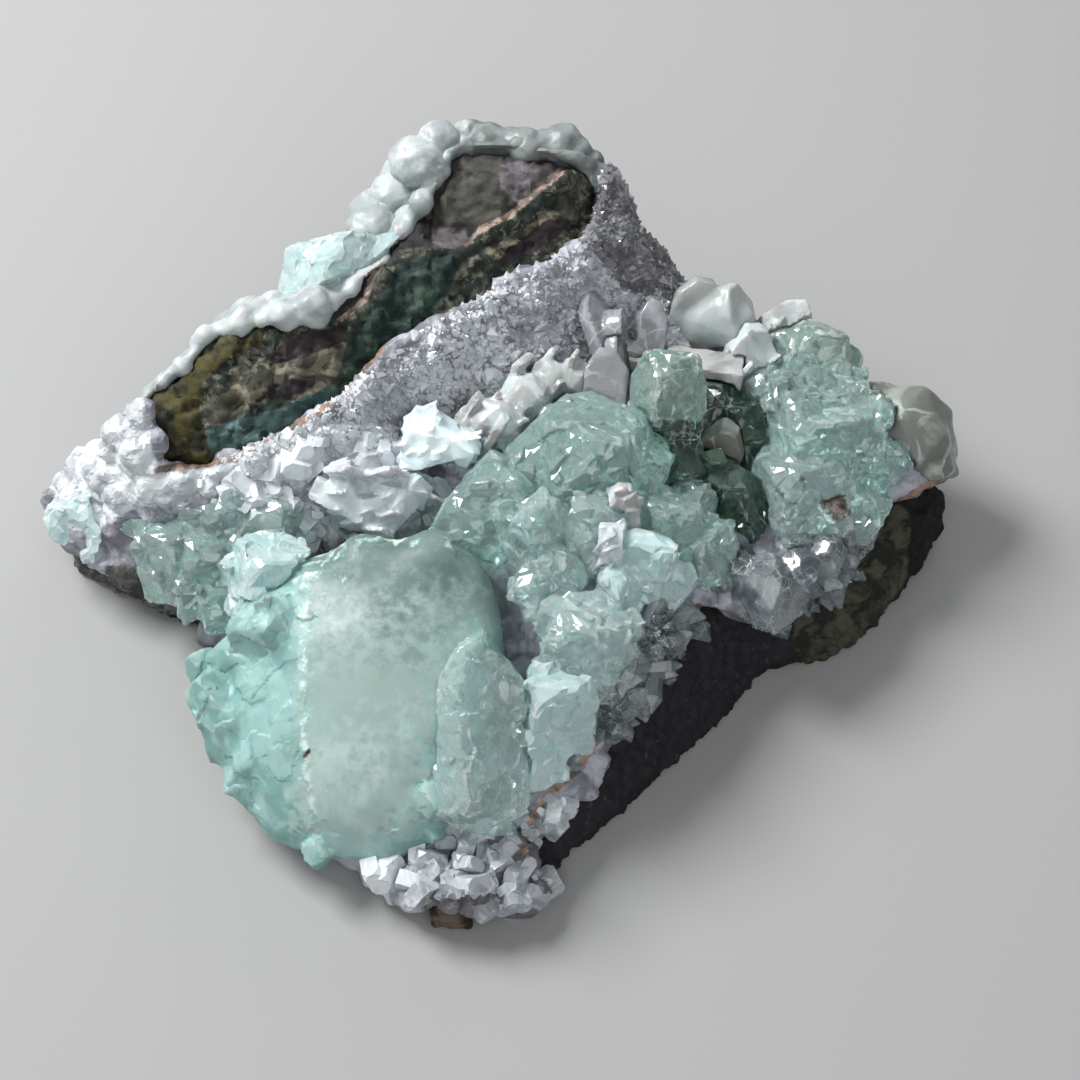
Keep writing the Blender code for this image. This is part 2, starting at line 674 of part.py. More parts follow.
# The basalt
def basalt_chunks():
    """The convex chunks that the broken basalt is built up from."""
    slab = [
        spot(-34, -11, 0), spot(-34, -24, 0), spot(-31, -31, 0), spot(-24, -36.6, 0), spot(-14, -41, 0),
        spot(1, -43.6, 0), spot(8.4, -34.4, 0), spot(19.4, -26.6, 0), spot(28, -16.8, 0),
        spot(20.6, -8, 13.5), spot(15.6, -15.2, 11), spot(8, -25.2, 8), spot(2.6, -32, 6), spot(-0.4, -40, 3),
        spot(-16, -40.6, 2), spot(-27, -33, 4), spot(-30, -22, 5), spot(-32, -9, 6),
        Vector((-30, 20, 0)), Vector((25, 30, 0)), Vector((-28, 16, 11)), Vector((22, 24, 12)),
    ]
    left_lobe = [
        spot(-57, -3, 2), spot(-55, 0, 7), spot(-53, -6, 1), spot(-40, -11.5, 0), spot(-42, -7, 7),
        spot(-52, 0, 9), spot(-46, 8, 17), spot(-38, 3, 12), Vector((-52, 14, 0)), Vector((-26, 24, 0)),
        Vector((-26, -4, 0)), Vector((-28, 12, 12)), Vector((-50, 14, 14)),
    ]
    right_lobe = [
        spot(27, -16, 0), spot(36, -16.4, 0), spot(41.8, -11.2, 0), spot(46.2, -2.8, 0), spot(48.8, 3, 2),
        spot(49.6, 6, 8), spot(45.6, 4.6, 11), spot(41, -3.6, 9), spot(37, -8.6, 7), spot(32, -13, 4),
        spot(24, -8, 11), Vector((47, 20, 0)), Vector((30, 32, 0)), Vector((45, 18, 11)),
        Vector((27, 29, 14)), Vector((15, 10, 0)), Vector((15, 10, 13)),
    ]
    ridge_left = [
        spot(-46.5, 9.4, 22), spot(-35, 11.3, 23), spot(-21.3, 20.3, 26), spot(-14, 26, 29),
        spot(-48.5, 16, 26), spot(-39.4, 25, 31), spot(-23.8, 27.5, 31), spot(-19, 33, 33),
        Vector((-48, 4, 6)), Vector((-22, 4, 10)), Vector((-2, 20, 10)),
        Vector((-50, 18, 0)), Vector((-36, 30, 0)), Vector((-22, 38, 0)), Vector((-8, 30, 0)),
    ]
    ridge_right = [
        spot(-19, 26, 29), spot(-12.5, 27.3, 29), spot(2.5, 35.6, 31.5), spot(6.3, 40.6, 33),
        spot(-17.5, 36.5, 34), spot(-8.8, 38.1, 35), spot(6.3, 46.9, 38), spot(8, 44, 34),
        Vector((-14, 14, 10)), Vector((14, 22, 10)),
        Vector((-27, 34, 0)), Vector((-16, 47, 0)), Vector((2, 49, 0)), Vector((12, 44, 0)),
    ]
    ridge_step = [
        spot(-13, 39.4, 35), spot(-12.5, 42.5, 37), spot(-9.8, 48, 39), spot(-4, 48, 39.5),
        spot(6, 46, 38.5), spot(-6, 39, 36), spot(4, 44, 37),
        Vector((-18, 44, 14)), Vector((-6, 49, 12)), Vector((6, 47, 14)),
    ]
    right_shoulder = [
        spot(5, 42, 32), spot(6.4, 36, 28), spot(10, 31, 25), spot(16, 27, 19), spot(11, 24, 17),
        Vector((8, 44, 0)), Vector((20, 38, 0)), Vector((30, 32, 0)), Vector((6, 24, 10)),
        Vector((23, 26, 14)),
    ]
    nub = [
        spot(-14.4, -44, 1), spot(-13.8, -46.8, 1), spot(-11.4, -48.4, 2), spot(-8, -48.2, 2),
        spot(-6, -46, 2), spot(-5.5, -43.5, 5), spot(-13.5, -43.8, 6),
        Vector((-12, -36, 0)), Vector((-4, -36, 0)),
    ]
    chunks = [slab, left_lobe, right_lobe, ridge_left, ridge_right, ridge_step, right_shoulder, nub]
    return [hull(points) for points in chunks]


# Where the lining meets the bare rock, as seen, going round clockwise from the left end of the ridge
LINING_EDGE = [
    (-60, 8), (-53, 11.6), (-47, 16.6), (-46.4, 14), (-45, 12.4), (-45.6, 8.8), (-40, 8.8), (-36, 10.2),
    (-32.4, 12), (-28.8, 14.4), (-25, 16.4), (-22, 18.8), (-19, 23), (-16.8, 24.6), (-12, 26.6), (-7.2, 28.8),
    (-4.8, 31.2), (-1.2, 32.6), (2.4, 33.8), (4.2, 36), (6, 38), (7.6, 42), (10, 60), (30, 50),
    (47, 22), (50, 17), (50.6, 11), (48.6, 7.6), (44, 5.6), (40, 4), (38, -3), (34, -5.4), (31, -8.6),
    (27, -10.4), (22.4, -9), (20, -7.4), (17.6, -9), (16, -12), (14, -17), (12.4, -18.8), (8.2, -22),
    (5.2, -27), (0.6, -31.2), (-2, -35.4), (-1.6, -38.4), (-0.4, -41), (0.6, -42.6), (-0.8, -44),
    (-2.6, -44.4), (-6.4, -43.8), (-13.8, -43), (-16.2, -42.8), (-19.4, -40.8), (-26.4, -38.2), (-36, -36),
    (-42, -30), (-41, -12), (-40, -7), (-44, -4.6), (-50, -4.4), (-54, -3), (-57.4, 0), (-59, 4),
]

# The crest of the ridge, from the left end to the top right
CREST = [
    (-52, 12, 22), (-48.5, 16, 26), (-39.4, 25, 31), (-23.8, 27.5, 31), (-19, 33, 33), (-17.5, 36.5, 34),
    (-12.5, 42.5, 37), (-9.8, 47.6, 39), (-4, 47.6, 39.5), (6, 46, 38.5), (8, 43, 33), (12, 36, 26),
]
BEHIND = [(34, 70), (-70, 70), (-70, 12)]


def rock(push, triangles, seed):
    """The outer surface of the chunks, pushed out, with the uneven face of broken stone."""
    body = remeshed(gather(basalt_chunks()), BASALT_CELL)

    def uneven(place):
        coarse = noise.noise(place * COARSE_WAVE + Vector((seed, 0, 0)))
        fine = noise.noise(place * FINE_WAVE + Vector((0, seed, 0)))
        return push + ROUGH * (coarse + FINE_SHARE * fine)

    pushed(body, uneven)
    remeshed(body, BASALT_CELL)
    return simplified(body, triangles)


def flat_foot(obj, level):
    """Cuts off what hangs below a level."""
    block = object_from(cube(GROUND, GROUND, GROUND), "ground")
    block.data.transform(Matrix.Translation((0, 0, level - GROUND / 2)))
    return combine(obj, block, "DIFFERENCE")


def lining_region():
    """All that is seen inside the lining's edge."""
    low = [spot(right, up, ROCK_BOTTOM) for right, up in LINING_EDGE]
    high = [spot(right, up, ROCK_TOP) for right, up in LINING_EDGE]
    return prism(low, high)


def crust_region(margin=0.0):
    """All that lies behind the crest, well above the ground."""
    crest = [spot(*place) for place in CREST]
    plan = [(point.x + margin, point.y - margin) for point in crest] + BEHIND
    low = [Vector((x, y, CRUST_HEM - CRUST_SLANT * x - margin)) for x, y in plan]
    high = [Vector((x, y, ROCK_TOP)) for x, y in plan]
    return prism(low, high)


GROUPS = [
    apophyllite_great, apophyllite_twin, apophyllite_dome, apophyllite_left_clear,
    apophyllite_block_centre, apophyllite_pale_centre, apophyllite_bright_blade,
    apophyllite_cluster_right, apophyllite_front_dome, apophyllite_front_block, apophyllite_tall,
    apophyllite_deep, apophyllite_back_right, apophyllite_right_block, apophyllite_outer,
    apophyllite_left_tip, apophyllite_left_group, apophyllite_left_block, quartz_lower_right,
    stilbite_centre, stilbite_white, stilbite_middle, stilbite_upright_blade, stilbite_slanted_blades,
    stilbite_bar, stilbite_disc, stilbite_right_cluster, stilbite_right_tip, stilbite_pocket,
    stilbite_white_sheaf, stilbite_left_sheaf, stilbite_right_end, stilbite_outer,
]


def cut_by(obj, cutters):
    """Takes the cutters out of the object, which may leave nothing of it."""
    for cutter in cutters:
        if obj.data.vertices and boxes_meet(obj, cutter):
            combine(obj, duplicate(cutter), "DIFFERENCE")


def crystal_groups(inner_ground, outer_ground):
    """The crystals, each group one solid: later groups give way to earlier ones and the ground."""
    pieces = {}
    cutters = {}
    for group in GROUPS:
        name = group.__name__
        parts = group()
        cutters[name] = [swollen(part) for part in parts]
        piece = union(parts)
        piece.name = name
        for earlier in pieces:
            cut_by(piece, cutters[earlier])
        cut_by(piece, [outer_ground if name.endswith("outer") else inner_ground])
        pieces[name] = keep_largest(piece)
    return pieces, sum(cutters.values(), [])


def rock_and_linings():
    """The basalt, and the chalcedony on its inner and outer side."""
    basalt = rock(0, BASALT_TRIANGLES, 3)
    lining = rock(LINING, LINING_TRIANGLES, 5)
    crust = rock(CRUST, CRUST_TRIANGLES, 3)
    grounds = [pushed(duplicate(skin), lambda place: ROCK_GAP) for skin in (lining, crust)]
    crystals, cutters = crystal_groups(*grounds)
    combine(lining, lining_region(), "INTERSECT")
    combine(lining, crust_region(SEAM), "DIFFERENCE")
    druse = union(druse_crystals())
    cut_by(druse, cutters)
    combine(lining, druse, "UNION")
    for tool in grounds + cutters:
        bpy.data.objects.remove(tool)
    combine(crust, crust_region(), "INTERSECT")
    for skin in (lining, crust):
        combine(skin, pushed(duplicate(basalt), lambda place: ROCK_GAP), "DIFFERENCE")
    rocks = {
        "basalt_matrix": flat_foot(basalt, FOOT),
        "chalcedony_lining": flat_foot(lining, FOOT + ROCK_GAP),
        "chalcedony_crust": crust,
    }
    for name, piece in rocks.items():
        piece.name = name
        keep_largest(piece)
    return {**crystals, **rocks}


def finish_with(colour, roughness, name):
    """A plain material for a kind of stone."""
    material = bpy.data.materials.new(name)
    material.use_nodes = True
    shader = material.node_tree.nodes["Principled BSDF"]
    shader.inputs["Base Color"].default_value = (*colour, 1)
    shader.inputs["Roughness"].default_value = roughness
    return material


def main():
    for obj in list(bpy.data.objects):
        bpy.data.objects.remove(obj)
    pieces = rock_and_linings()
    collection = bpy.data.collections.new("green_apophyllite")
    bpy.context.scene.collection.children.link(collection)
    stones = {name: finish_with(colour, rough, name) for name, (colour, rough) in COLOURS.items()}
    boxes = [box_of(piece) for piece in pieces.values()]
    low = [min(box[0][k] for box in boxes) for k in range(3)]
    high = [max(box[1][k] for box in boxes) for k in range(3)]
    specimen = bpy.data.objects.new("specimen", None)
    specimen.scale = [METRES_PER_MM] * 3
    specimen.location = Vector((-(low[0] + high[0]) / 2, -(low[1] + high[1]) / 2, -low[2])) * METRES_PER_MM
    collection.objects.link(specimen)
    for name, piece in pieces.items():
        kind = name.split("_")[0]
        piece.data.materials.clear()
        piece.data.materials.append(stones[kind])
        for other in piece.users_collection:
            other.objects.unlink(piece)
        collection.objects.link(piece)
        piece.parent = specimen


if __name__ == "__main__":
    main()
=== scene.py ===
# %% [markdown]
# # Green apophyllite on basalt
# The specimen is a broken piece of dark basalt. A hollow in it is lined with sugary lavender
# chalcedony, and on that lining grew pale green, glassy apophyllite and cream stilbite. The solids of
# every piece come from the frame. Here each one gets its fine shape and its finish.

# %% The frame
import json
import math

import bpy
import numpy as np
from mathutils import Euler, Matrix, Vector

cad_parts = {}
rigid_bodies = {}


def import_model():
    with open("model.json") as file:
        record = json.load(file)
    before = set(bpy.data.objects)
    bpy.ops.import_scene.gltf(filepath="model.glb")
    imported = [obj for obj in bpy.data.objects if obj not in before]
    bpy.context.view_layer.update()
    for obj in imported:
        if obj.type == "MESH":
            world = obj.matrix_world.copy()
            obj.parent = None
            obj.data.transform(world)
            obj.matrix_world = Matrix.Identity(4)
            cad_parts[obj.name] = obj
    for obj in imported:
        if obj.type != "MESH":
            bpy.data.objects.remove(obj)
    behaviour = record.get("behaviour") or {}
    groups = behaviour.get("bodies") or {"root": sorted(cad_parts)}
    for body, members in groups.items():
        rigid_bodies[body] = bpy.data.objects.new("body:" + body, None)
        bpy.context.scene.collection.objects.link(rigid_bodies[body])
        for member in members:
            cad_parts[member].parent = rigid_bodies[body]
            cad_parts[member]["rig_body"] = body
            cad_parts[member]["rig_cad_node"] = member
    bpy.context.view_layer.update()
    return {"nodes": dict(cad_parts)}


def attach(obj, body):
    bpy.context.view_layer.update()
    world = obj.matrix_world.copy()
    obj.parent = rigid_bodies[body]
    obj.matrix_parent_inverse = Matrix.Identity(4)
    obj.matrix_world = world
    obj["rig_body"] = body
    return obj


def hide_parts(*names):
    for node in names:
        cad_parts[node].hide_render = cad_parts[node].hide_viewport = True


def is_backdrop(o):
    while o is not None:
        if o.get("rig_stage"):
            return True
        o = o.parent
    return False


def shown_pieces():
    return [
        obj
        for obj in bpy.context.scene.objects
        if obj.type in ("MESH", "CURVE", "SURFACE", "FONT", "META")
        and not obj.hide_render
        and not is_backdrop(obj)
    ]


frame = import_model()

# %% [markdown]
# ## The view
# A place on the specimen is easiest to name as the photograph shows it: how far right of the middle of
# the picture, how far above it, and how high over the table. All three are in millimetres. The camera
# looks down at 55 degrees, so one ray for each place of the picture meets each height once.

# %% Camera
MM = 0.001
VIEW_TILT = math.radians(55)
VIEW_DISTANCE = 320 * MM
VIEW_WIDTH = 129.6 * MM  # what the picture is wide at that distance
VIEW_AIM = Vector((4.51, -2.88, 14.0)) * MM
AHEAD = Vector((0, math.cos(VIEW_TILT), -math.sin(VIEW_TILT)))
UP = Vector((0, math.sin(VIEW_TILT), math.cos(VIEW_TILT)))
EYE = VIEW_AIM - VIEW_DISTANCE * AHEAD


def spot(right, up, height):
    """The point at this height that the picture shows this far right and up, all in millimetres."""
    ray = VIEW_DISTANCE * AHEAD + up * MM * UP + Vector((right * MM, 0, 0))
    return EYE + ray * ((height * MM - EYE.z) / ray.z)


def of_points(obj, what):
    """The places ("co") or directions ("normal") of all the object's points, as an array."""
    found = np.zeros(len(obj.data.vertices) * 3)
    obj.data.vertices.foreach_get(what, found)
    return found.reshape(-1, 3)


def in_picture(obj):
    """How far right and up the picture shows each point of the object, in millimetres, as two arrays."""
    rays = of_points(obj, "co") - np.array(EYE)
    scale = VIEW_DISTANCE / (rays @ np.array(AHEAD)) / MM
    return rays[:, 0] * scale, (rays @ np.array(UP)) * scale


camera = bpy.data.objects.new("camera", bpy.data.cameras.new("camera"))
bpy.context.scene.collection.objects.link(camera)
bpy.context.scene.camera = camera
camera.data.sensor_width = 36
camera.data.lens = camera.data.sensor_width * VIEW_DISTANCE / VIEW_WIDTH
camera.data.clip_start = 10 * MM
camera.location = EYE
camera.rotation_mode = "QUATERNION"
camera.rotation_quaternion = AHEAD.to_track_quat("-Z", "Y")
print("camera at", [round(x, 3) for x in camera.location])

# %% [markdown]
# ## Light and floor
# A large soft lamp stands behind the specimen on its left, so the glassy steps on that side glint and
# the broken rock at the lower right lies in shade. A weak one in front opens the shadows.

# %% Light and floor
LAMPS = {  # place in metres, size in metres, power in watts
    "key": ((-0.32, 0.18, 0.44), 0.24, 5.2),
    "fill": ((0.10, -0.44, 0.46), 0.60, 1.8),
    "back": ((0.16, 0.50, 0.30), 0.30, 0.6),
}
SKY = (0.95, 0.97, 1.0, 1)
SKY_STRENGTH = 0.30
FLOOR_GREY = (0.30, 0.30, 0.30, 1)


def lamp(name, place, size, power):
    """A square soft lamp that points at the specimen."""
    light = bpy.data.lights.new(name, "AREA")
    light.size = size
    light.energy = power
    holder = bpy.data.objects.new(name, light)
    holder.location = place
    holder.rotation_mode = "QUATERNION"
    holder.rotation_quaternion = (VIEW_AIM - Vector(place)).to_track_quat("-Z", "Y")
    bpy.context.scene.collection.objects.link(holder)


for name, (place, size, power) in LAMPS.items():
    lamp(name, place, size, power)

world = bpy.data.worlds.new("studio")
bpy.context.scene.world = world
world.use_nodes = True
world.node_tree.nodes["Background"].inputs["Color"].default_value = SKY
world.node_tree.nodes["Background"].inputs["Strength"].default_value = SKY_STRENGTH
bpy.context.scene.view_settings.view_transform = "Standard"

bpy.ops.mesh.primitive_plane_add(size=3, location=(0, 0, 0))
floor = bpy.context.object
floor.name = "floor"
paper = bpy.data.materials.new("floor_paper")
paper.use_nodes = True
paper.node_tree.nodes["Principled BSDF"].inputs["Base Color"].default_value = FLOOR_GREY
paper.node_tree.nodes["Principled BSDF"].inputs["Roughness"].default_value = 0.9
floor.data.materials.append(paper)
floor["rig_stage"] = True

# %% [markdown]
# ## Tools
# A frame solid is loose triangles, so a copy is merged before its surface is worked on. Even cells from
# a voxel remesh give the displacement something to move. All modifiers are applied, as by hand.

# %% Mesh tools
MERGED = 0.01 * MM  # points nearer than this become one


def mode(name):
    """Goes to edit mode or back to object mode."""
    bpy.ops.object.mode_set(mode=name)


def only(obj):
    """Selects this object and nothing else."""
    bpy.ops.object.select_all(action="DESELECT")
    obj.select_set(True)
    bpy.context.view_layer.objects.active = obj


def applied(obj, kind, **settings):
    """Adds a modifier with these settings and applies it."""
    only(obj)
    modifier = obj.modifiers.new(kind.lower(), kind)
    for key, value in settings.items():
        setattr(modifier, key, value)
    bpy.ops.object.modifier_apply(modifier=modifier.name)
    return obj


def copy_of(node_name, name=""):
    """A merged copy of a frame solid, as a piece of its own."""
    obj = frame["nodes"][node_name].copy()
    obj.data = obj.data.copy()
    obj.parent = None
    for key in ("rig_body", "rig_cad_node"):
        del obj[key]
    obj.name = name or node_name + "_grown"
    obj.data.materials.clear()
    bpy.context.scene.collection.objects.link(obj)
    only(obj)
    mode("EDIT")
    bpy.ops.mesh.select_all(action="SELECT")
    bpy.ops.mesh.remove_doubles(threshold=MERGED)
    mode("OBJECT")
    return obj


def remeshed(obj, cell):
    """An even closed skin with cells of this size, in millimetres."""
    return applied(obj, "REMESH", mode="VOXEL", voxel_size=cell * MM)


def texture(kind, size, **settings):
    """A procedural texture whose features are this size, in millimetres."""
    made = bpy.data.textures.new(kind.lower(), kind)
    made.noise_scale = size * MM
    for key, value in settings.items():
        setattr(made, key, value)
    return made


def clouds(size, depth):
    """A texture of soft lumps of this size, in millimetres, with finer ones on them."""
    return texture("CLOUDS", size, noise_depth=depth)


def displaced(obj, pattern, strength, middle=0.5, group=""):
    """Moves the surface in and out by a texture, in millimetres."""
    return applied(obj, "DISPLACE", texture=pattern, strength=strength * MM, mid_level=middle,
                   vertex_group=group, texture_coords="LOCAL")


def joined(objects, name):
    """Joins the objects to one."""
    only(objects[0])
    for obj in objects:
        obj.select_set(True)
    bpy.ops.object.join()
    bpy.context.object.name = name
    return bpy.context.object


def smooth_shaded(obj, angle):
    """Shades smooth, but keeps edges that are sharper than this many degrees."""
    only(obj)
    bpy.ops.object.shade_smooth_by_angle(angle=math.radians(angle))
    return obj


def at_origin(obj, name=""):
    """Puts the object's place, turn and scale into its mesh, and names it if a name is given."""
    obj.name = name or obj.name
    bpy.ops.object.transform_apply(location=True, rotation=True, scale=True)
    return obj


def triangles(obj):
    """How many triangles the object has."""
    return sum(len(face.vertices) - 2 for face in obj.data.polygons)


def piece(obj, slot, material, *nodes):
    """Finishes a piece: its material, its body, and the frame solids that it stands for."""
    points = of_points(obj, "co")
    shifted(obj, (0, 0, 1), np.maximum(-points[:, 2], 0) / MM)  # nothing hangs below the table
    obj.data.materials.clear()
    obj.data.materials.append(material)
    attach(obj, "root")
    if nodes:
        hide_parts(*nodes)
    print(obj.name, triangles(obj), "triangles")
    return obj


# %% [markdown]
# ## Marks
# Stains, broken faces and sown places have outlines in millimetres, as the photograph shows them. A
# share from 0 to 1 is stored at each point of the mesh, and materials and node groups read it.

# %% Marks
TINY = 1e-9  # keeps a division by nothing away
FAR = 1e9


def gaps(right, up, stretches):
    """How far each place of the picture is from the nearest of these straight stretches."""
    nearest = np.full(len(right), FAR)
    for (ax, ay), (bx, by) in stretches:
        length = (bx - ax) ** 2 + (by - ay) ** 2
        along = np.clip(((right - ax) * (bx - ax) + (up - ay) * (by - ay)) / length, 0, 1)
        gap = np.hypot(right - ax - along * (bx - ax), up - ay - along * (by - ay))
        nearest = np.minimum(nearest, gap)
    return nearest


def near_line(obj, line, reach):
    """For each point, 1 on the line as the picture shows it, down to 0 at this reach, in millimetres."""
    right, up = in_picture(obj)
    return np.clip(1 - gaps(right, up, zip(line, line[1:])) / reach, 0, 1)


def within(obj, outline, soft):
    """For each point, 1 where the picture shows it inside the outline and 0 outside, with a soft rim."""
    right, up = in_picture(obj)
    sides = list(zip(outline, outline[1:] + outline[:1]))
    inside = np.zeros(len(up), bool)
    for (ax, ay), (bx, by) in sides:
        crosses = (ay > up) != (by > up)
        inside ^= crosses & (right < (bx - ax) * (up - ay) / ((by - ay) or TINY) + ax)
    distance = gaps(right, up, sides)
    return np.clip(0.5 + np.where(inside, distance, -distance) / soft, 0, 1)


def within_any(obj, outlines, soft):
    """For each point, 1 where the picture shows it inside one of the outlines."""
    return np.max([within(obj, outline, soft) for outline in outlines], axis=0)


def above(obj, level):
    """For each point, 1 if it is higher than this level, in millimetres, down to 0 a little lower."""
    return np.clip(of_points(obj, "co")[:, 2] / MM - level, 0, 1)


def marked(obj, name, shares):
    """Stores a share from 0 to 1 at each point, for materials and node groups."""
    if name in obj.data.attributes:
        obj.data.attributes.remove(obj.data.attributes[name])
    attribute = obj.data.attributes.new(name, "FLOAT", "POINT")
    attribute.data.foreach_set("value", np.asarray(shares, dtype=np.float32))


def mark_places(obj, marks, soft, level=0):
    """Marks each named place on the object above this level, from its outlines in the picture."""
    for name, outlines in marks.items():
        marked(obj, name, within_any(obj, outlines, soft) * above(obj, level))


def grouped(obj, name, shares):
    """Stores a share at each point as a vertex group, for modifiers."""
    group = obj.vertex_groups.new(name=name)
    levels = np.round(shares, 1)
    for level in np.unique(levels[levels > 0]):
        group.add(np.nonzero(levels == level)[0].tolist(), float(level), "REPLACE")


def shifted(obj, direction, amounts):
    """Moves each point along one direction by its own amount, in millimetres."""
    moved = of_points(obj, "co") + np.outer(amounts, np.array(direction)) * MM
    obj.data.vertices.foreach_set("co", moved.ravel())
    obj.data.update()


def edges_marked(obj, name, low, high):
    """Marks the points of outward edges and corners, by how steeply the mesh falls away around them."""
    ends = np.zeros(len(obj.data.edges) * 2, dtype=np.int32)
    obj.data.edges.foreach_get("vertices", ends)
    points, normals = of_points(obj, "co"), of_points(obj, "normal")
    fall, count = np.zeros(len(points)), np.full(len(points), TINY)
    for start, end in (ends.reshape(-1, 2).T, ends.reshape(-1, 2).T[::-1]):
        away = points[end] - points[start]
        away /= np.linalg.norm(away, axis=1)[:, None] + TINY * MM
        np.add.at(fall, start, -(away * normals[start]).sum(axis=1))
        np.add.at(count, start, 1)
    marked(obj, name, np.clip((fall / count - low) / (high - low), 0, 1))


# %% [markdown]
# ## Grains
# A grain is modelled once. A node group then sets copies of it on a surface, upright for a druse, or
# all turned one way for crystals that grew side by side.

# %% Node tools
def node(tree, kind, inputs=None, **settings):
    """A node with its settings and input values."""
    made = tree.nodes.new(kind)
    for key, value in settings.items():
        setattr(made, key, value)
    for key, value in (inputs or {}).items():
        made.inputs[key].default_value = value
    return made


def wired(*wires):
    """Joins sockets. Each wire is (node, its output, node, its input)."""
    for source, output, target, entry in wires:
        source.id_data.links.new(source.outputs[output], target.inputs[entry])


def grower(name, grain, density, sizes, tilt, seed, turn, mask, keep, apart):
    """A node group that grows copies of a grain on a surface, upright on it or all turned one way."""
    tree = bpy.data.node_groups.new(name, "GeometryNodeTree")
    tree.interface.new_socket("Geometry", in_out="INPUT", socket_type="NodeSocketGeometry")
    tree.interface.new_socket("Geometry", in_out="OUTPUT", socket_type="NodeSocketGeometry")
    start, end = tree.nodes.new("NodeGroupInput"), tree.nodes.new("NodeGroupOutput")
    points = node(tree, "GeometryNodeDistributePointsOnFaces", {"Seed": seed}, distribute_method="POISSON")
    points.inputs["Density Max"].default_value = density / MM ** 2
    points.inputs["Distance Min"].default_value = apart * MM
    if mask:
        share = node(tree, "GeometryNodeInputNamedAttribute", {"Name": mask}, data_type="FLOAT")
        wired((share, "Attribute", points, "Density Factor"))
    grains = node(tree, "GeometryNodeObjectInfo", {"Object": grain})
    chance = node(tree, "FunctionNodeRandomValue", {"Seed": seed + 1}, data_type="FLOAT")
    skewed = node(tree, "ShaderNodeMath", {1: 2.0}, operation="POWER")
    size = node(tree, "ShaderNodeMapRange", {"To Min": sizes[0], "To Max": sizes[1]})
    place = node(tree, "GeometryNodeInstanceOnPoints")
    lean = node(tree, "FunctionNodeRandomValue", {"Seed": seed + 2}, data_type="FLOAT_VECTOR")
    spin = math.pi if turn is None else tilt
    lean.inputs[0].default_value = (-tilt, -tilt, -spin)
    lean.inputs[1].default_value = (tilt, tilt, spin)
    turned = node(tree, "GeometryNodeRotateInstances")
    real = node(tree, "GeometryNodeRealizeInstances")
    wired((start, 0, points, "Mesh"), (chance, 1, skewed, 0), (skewed, 0, size, "Value"),
          (points, "Points", place, "Points"), (grains, "Geometry", place, "Instance"),
          (size, "Result", place, "Scale"))
    if turn is None:
        wired((points, "Rotation", place, "Rotation"))
    else:
        place.inputs["Rotation"].default_value = turn
    wired((place, "Instances", turned, "Instances"), (lean, 0, turned, "Rotation"),
          (turned, "Instances", real, "Geometry"))
    if keep:
        both = node(tree, "GeometryNodeJoinGeometry")
        wired((start, 0, both, 0), (real, "Geometry", both, 0), (both, 0, end, 0))
    else:
        wired((real, "Geometry", end, 0))
    return tree


def grown(obj, grain, density, sizes, tilt, seed, turn=None, mask="", keep=True, apart=0.3):
    """Grows grains on the object: so many for each square millimetre, with sizes in millimetres."""
    group = grower("grown", grain, density, sizes, tilt, seed, turn, mask, keep, apart)
    return applied(obj, "NODES", node_group=group)


# %% [markdown]
# ## Finishes
# Each stone is painted in layers, from a ground colour up. A layer mixes two colours by noise, and lies
# where its mark on the surface says, with a ragged edge. A last group raises a fine grain.

# %% Layer group
BLACK, PLAIN_WHITE = (0, 0, 0, 1), (1, 1, 1, 1)


def shader_group(name, inputs, outputs):
    """An empty shader group with named sockets: its tree, the inside of its inputs and of its outputs."""
    tree = bpy.data.node_groups.new(name, "ShaderNodeTree")
    for label, value in inputs.items():
        kind = "NodeSocketFloat" if isinstance(value, float) else "NodeSocketColor"
        entry = tree.interface.new_socket(label, in_out="INPUT", socket_type=kind)
        entry.default_value = value
    for label, kind in outputs.items():
        tree.interface.new_socket(label, in_out="OUTPUT", socket_type="NodeSocket" + kind)
    return tree, tree.nodes.new("NodeGroupInput"), tree.nodes.new("NodeGroupOutput")


def shade(tree, kind, inputs=None, **settings):
    """A shader node."""
    return node(tree, "ShaderNode" + kind, inputs, **settings)


def maths(tree, operation, second=0.5, **settings):
    """A node for one step of arithmetic. The second number is used unless a wire brings it."""
    return shade(tree, "Math", {1: second}, operation=operation, **settings)


